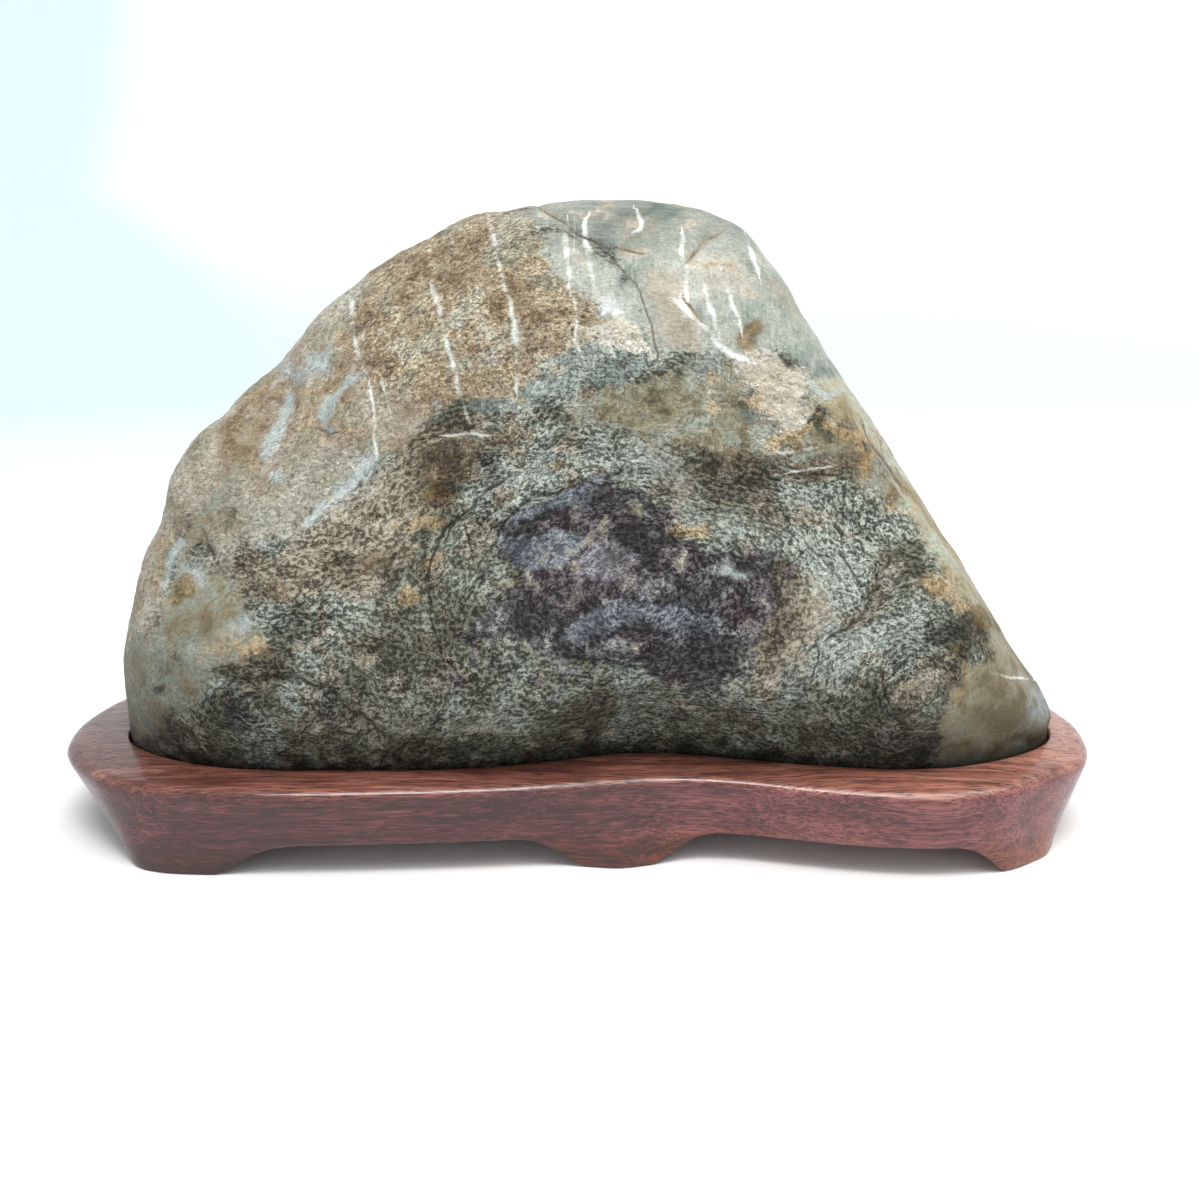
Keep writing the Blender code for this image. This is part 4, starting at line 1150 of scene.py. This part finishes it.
def veined(n, colour, cracks, calm):
    """Pale veins, and cracks that stain the smooth jade beside them."""
    broken = n.step(n.clump * 0.7 + n.flecks * 0.3, 0.38, 0.58)
    veins = n.line_share("veins", 0.22) * (broken * 0.66 + 0.14)
    colour = n.mix(veins, colour, n.ramp(n.grit, (250, 500, 520, 470), (700, 730, 765, 730)))
    stained = n.line_share("cracks", 1.0) * n.step(n.tint, 0.40, 0.62)
    colour = n.mix(stained * calm * 0.40, colour, (0.330, 0.240, 0.140))
    crack_colour = n.mix(calm, (0.024, 0.021, 0.016), (0.095, 0.066, 0.042))
    return n.mix(cracks * (broken * 0.62 + 0.24), colour, crack_colour)


def stone_material():
    n = StoneNodes()
    colour = schist(n)
    for cover in (plum_core, ochre_crust, jade_cap, worn_faces):
        colour = cover(n, colour)
    colour = n.lay(colour, "brown", "orange", "rust", "dark")
    calm = calmness(n)
    colour = n.dimmed(colour, grain_light(n, calm) * painted_low_shade(n))
    cracks = n.line_share("cracks")
    colour = veined(n, colour, cracks, calm)
    height = n.sum((n.flecks, 2.2), (n.grain, 1.3), (n.clump, 1.2), (n.coarse_seam, -0.5), (cracks, -1.0))
    roughness = n.math("ADD", n.grain * 0.25 - calm * 0.10, 0.50, clamp=True)
    return n.finish(colour, roughness, height * (1.0 - calm * 0.80), STONE_BUMP, {"Specular IOR Level": 0.16})


def wood_material():
    """Rosewood with long grain and open pores: dark red walls in painted shade with a painted purplish
    floor reflection, a lighter rim painted lit from above, and browner feet.
    """
    n = Nodes("rosewood")
    place = n.position()
    x, y, z = n.parts(place)
    sway = n.noise(n.stretched(place, (0.012, 0.05, 0.05)), 1.0, 2.0, 0.5)
    along = n.joined(x * 0.035, y + sway * 9.0, z + sway * 4.0)
    bands = n.noise(along, 3.6, 3.0, 0.5)
    fibre = n.noise(along, 0.55, 4.0, 0.72)
    pore = n.step(n.noise(n.stretched(along, (1.5, 1.0, 1.0)), 0.34, 2.0, 0.5), 0.55, 0.64)
    cloud = n.noise(n.stretched(place, (0.3, 1.0, 1.0)), 16.0, 3.0, 0.6)
    # grain, with painted light: the wood is made lighter towards the right end, as if lit from the right
    grain_and_side_light = n.spread((bands, 1.0), (fibre, 1.8), (cloud, 0.5), (n.step(x, 0.0, 95.0), 0.30))
    # painted shade: the left foot is made darker
    foot_grain_and_shade = grain_and_side_light + n.step(x, -105.0, -40.0) * 0.34 - 0.28
    # painted light: the walls' colours are darker and purplish, as painted shade with a painted floor
    # reflection, while the rim's colours are painted lit from above
    wall = n.ramp(grain_and_side_light, (180, 33, 8, 8), (400, 78, 18, 20), (580, 128, 33, 35), (840, 224, 70, 70))
    rim = n.ramp(grain_and_side_light, (180, 70, 22, 15), (400, 154, 54, 38), (580, 230, 89, 63), (840, 350, 154, 110))
    foot = n.ramp(foot_grain_and_shade, (180, 26, 5, 3), (400, 70, 14, 7), (580, 120, 26, 12), (840, 215, 56, 26))
    colour = n.mix(n.step(cloud * 8.0 - z, -8.0, 0.5), wall, foot)
    colour = n.mix(n.step(z, 22.6, 24.8), colour, rim)
    colour = n.mix(pore * 0.80, colour, (0.018, 0.008, 0.006))
    height = n.sum((fibre, 0.5), (pore, -0.9), (bands, 0.2))
    roughness = n.math("ADD", fibre * 0.16 + pore * 0.25, 0.30, clamp=True)
    polish = {"Specular IOR Level": 0.30, "Coat Weight": 0.62, "Coat Roughness": 0.13}
    return n.finish(colour, roughness, height, WOOD_BUMP, polish)


# ======== stage
def backdrop_material():
    """White paper: a touch darker underfoot, with painted cool shade on the wall's left and on the floor to
    either side.
    """
    n = Nodes("white_sweep")
    place = n.add("ShaderNodeTexCoord").outputs["Object"]
    x, y, z = n.parts(place)
    # painted shade: a cool, darker tint on the wall's left
    cool = n.step(n.sum((x, -1.0), (n.math("MINIMUM", z, 0.21), -1.4)), 0.24, 0.38) * n.step(y, 0.62, 1.0)
    # painted shade: a cyan shadow tint on the floor to either side of the stand
    sides = n.step(abs(x), 0.13, 0.30)
    floor = n.mix(sides * 0.6, (0.75, 0.75, 0.75), (0.66, 0.745, 0.76))
    colour = n.mix(n.step(z, 0.0, 0.25), floor, (0.985, 0.955, 0.95))
    colour = n.mix(cool, colour, (0.675, 0.795, 0.83))
    return n.finish(colour, 0.9, n.noise(place, 0.02, 2.0, 0.5), PAPER_BUMP, {})


def build_sweep():
    """A white floor that curves up into a wall all round."""
    profile = [(0.3, 0.0), (0.6, 0.0), (SWEEP_FLAT, 0.0)]
    for step in range(1, SWEEP_STEPS + 1):
        angle = math.pi / 2 * step / SWEEP_STEPS
        across, up = SWEEP_BEND * math.sin(angle), SWEEP_BEND - SWEEP_BEND * math.cos(angle)
        profile.append((SWEEP_FLAT + across, up))
    profile.append((SWEEP_FLAT + SWEEP_BEND, SWEEP_TOP))
    angles = [2 * math.pi * k / SWEEP_SIDES for k in range(SWEEP_SIDES)]
    bm = bmesh.new()
    middle = bm.verts.new((0.0, 0.0, 0.0))
    rows = []
    for radius, height in profile:
        rows.append([bm.verts.new((radius * math.cos(a), radius * math.sin(a), height)) for a in angles])
    for i in range(SWEEP_SIDES):
        j = (i + 1) % SWEEP_SIDES
        bm.faces.new((middle, rows[0][i], rows[0][j]))
        for inner, outer in zip(rows, rows[1:]):
            bm.faces.new((inner[i], outer[i], outer[j], inner[j]))
    mesh = bpy.data.meshes.new("sweep")
    bm.to_mesh(mesh)
    bm.free()
    shade_smooth(mesh)
    mesh.materials.append(backdrop_material())
    placed("sweep", mesh)


def add_light(name, place, aim, size, power, colour):
    light = bpy.data.lights.new(name, "AREA")
    light.shape = "RECTANGLE"
    light.size, light.size_y = size
    light.energy = power
    light.color = colour
    obj = placed(name, light)
    obj.location = place
    obj.rotation_euler = (Vector(aim) - Vector(place)).to_track_quat("-Z", "Y").to_euler()


def build_lights():
    for name, settings in LIGHTS.items():
        add_light(name, *settings)
    world = bpy.data.worlds.new("studio")
    world.use_nodes = True
    background = world.node_tree.nodes["Background"]
    background.inputs["Color"].default_value = WORLD_COLOUR
    background.inputs["Strength"].default_value = WORLD_STRENGTH
    bpy.context.scene.world = world


def build_camera():
    camera = bpy.data.cameras.new("camera")
    camera.lens = VIEW_LENS
    camera.sensor_width = SENSOR
    camera.clip_start = 0.01
    obj = placed("camera", camera)
    obj.location = Vector(VIEW_FROM) * MM
    obj.rotation_euler = (math.pi / 2 - VIEW_DOWN, 0.0, 0.0)
    bpy.context.scene.camera = obj


def main():
    stone = build_stone(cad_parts["stone"])
    stand = build_stand(stone)
    for piece, node, finish in ((stone, "stone", "stone"), (stand, "stand", "wood")):
        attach(piece, "root")
        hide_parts(node)
    build_sweep()
    build_lights()
    build_camera()
    bpy.context.scene.view_settings.view_transform = "Standard"


main()
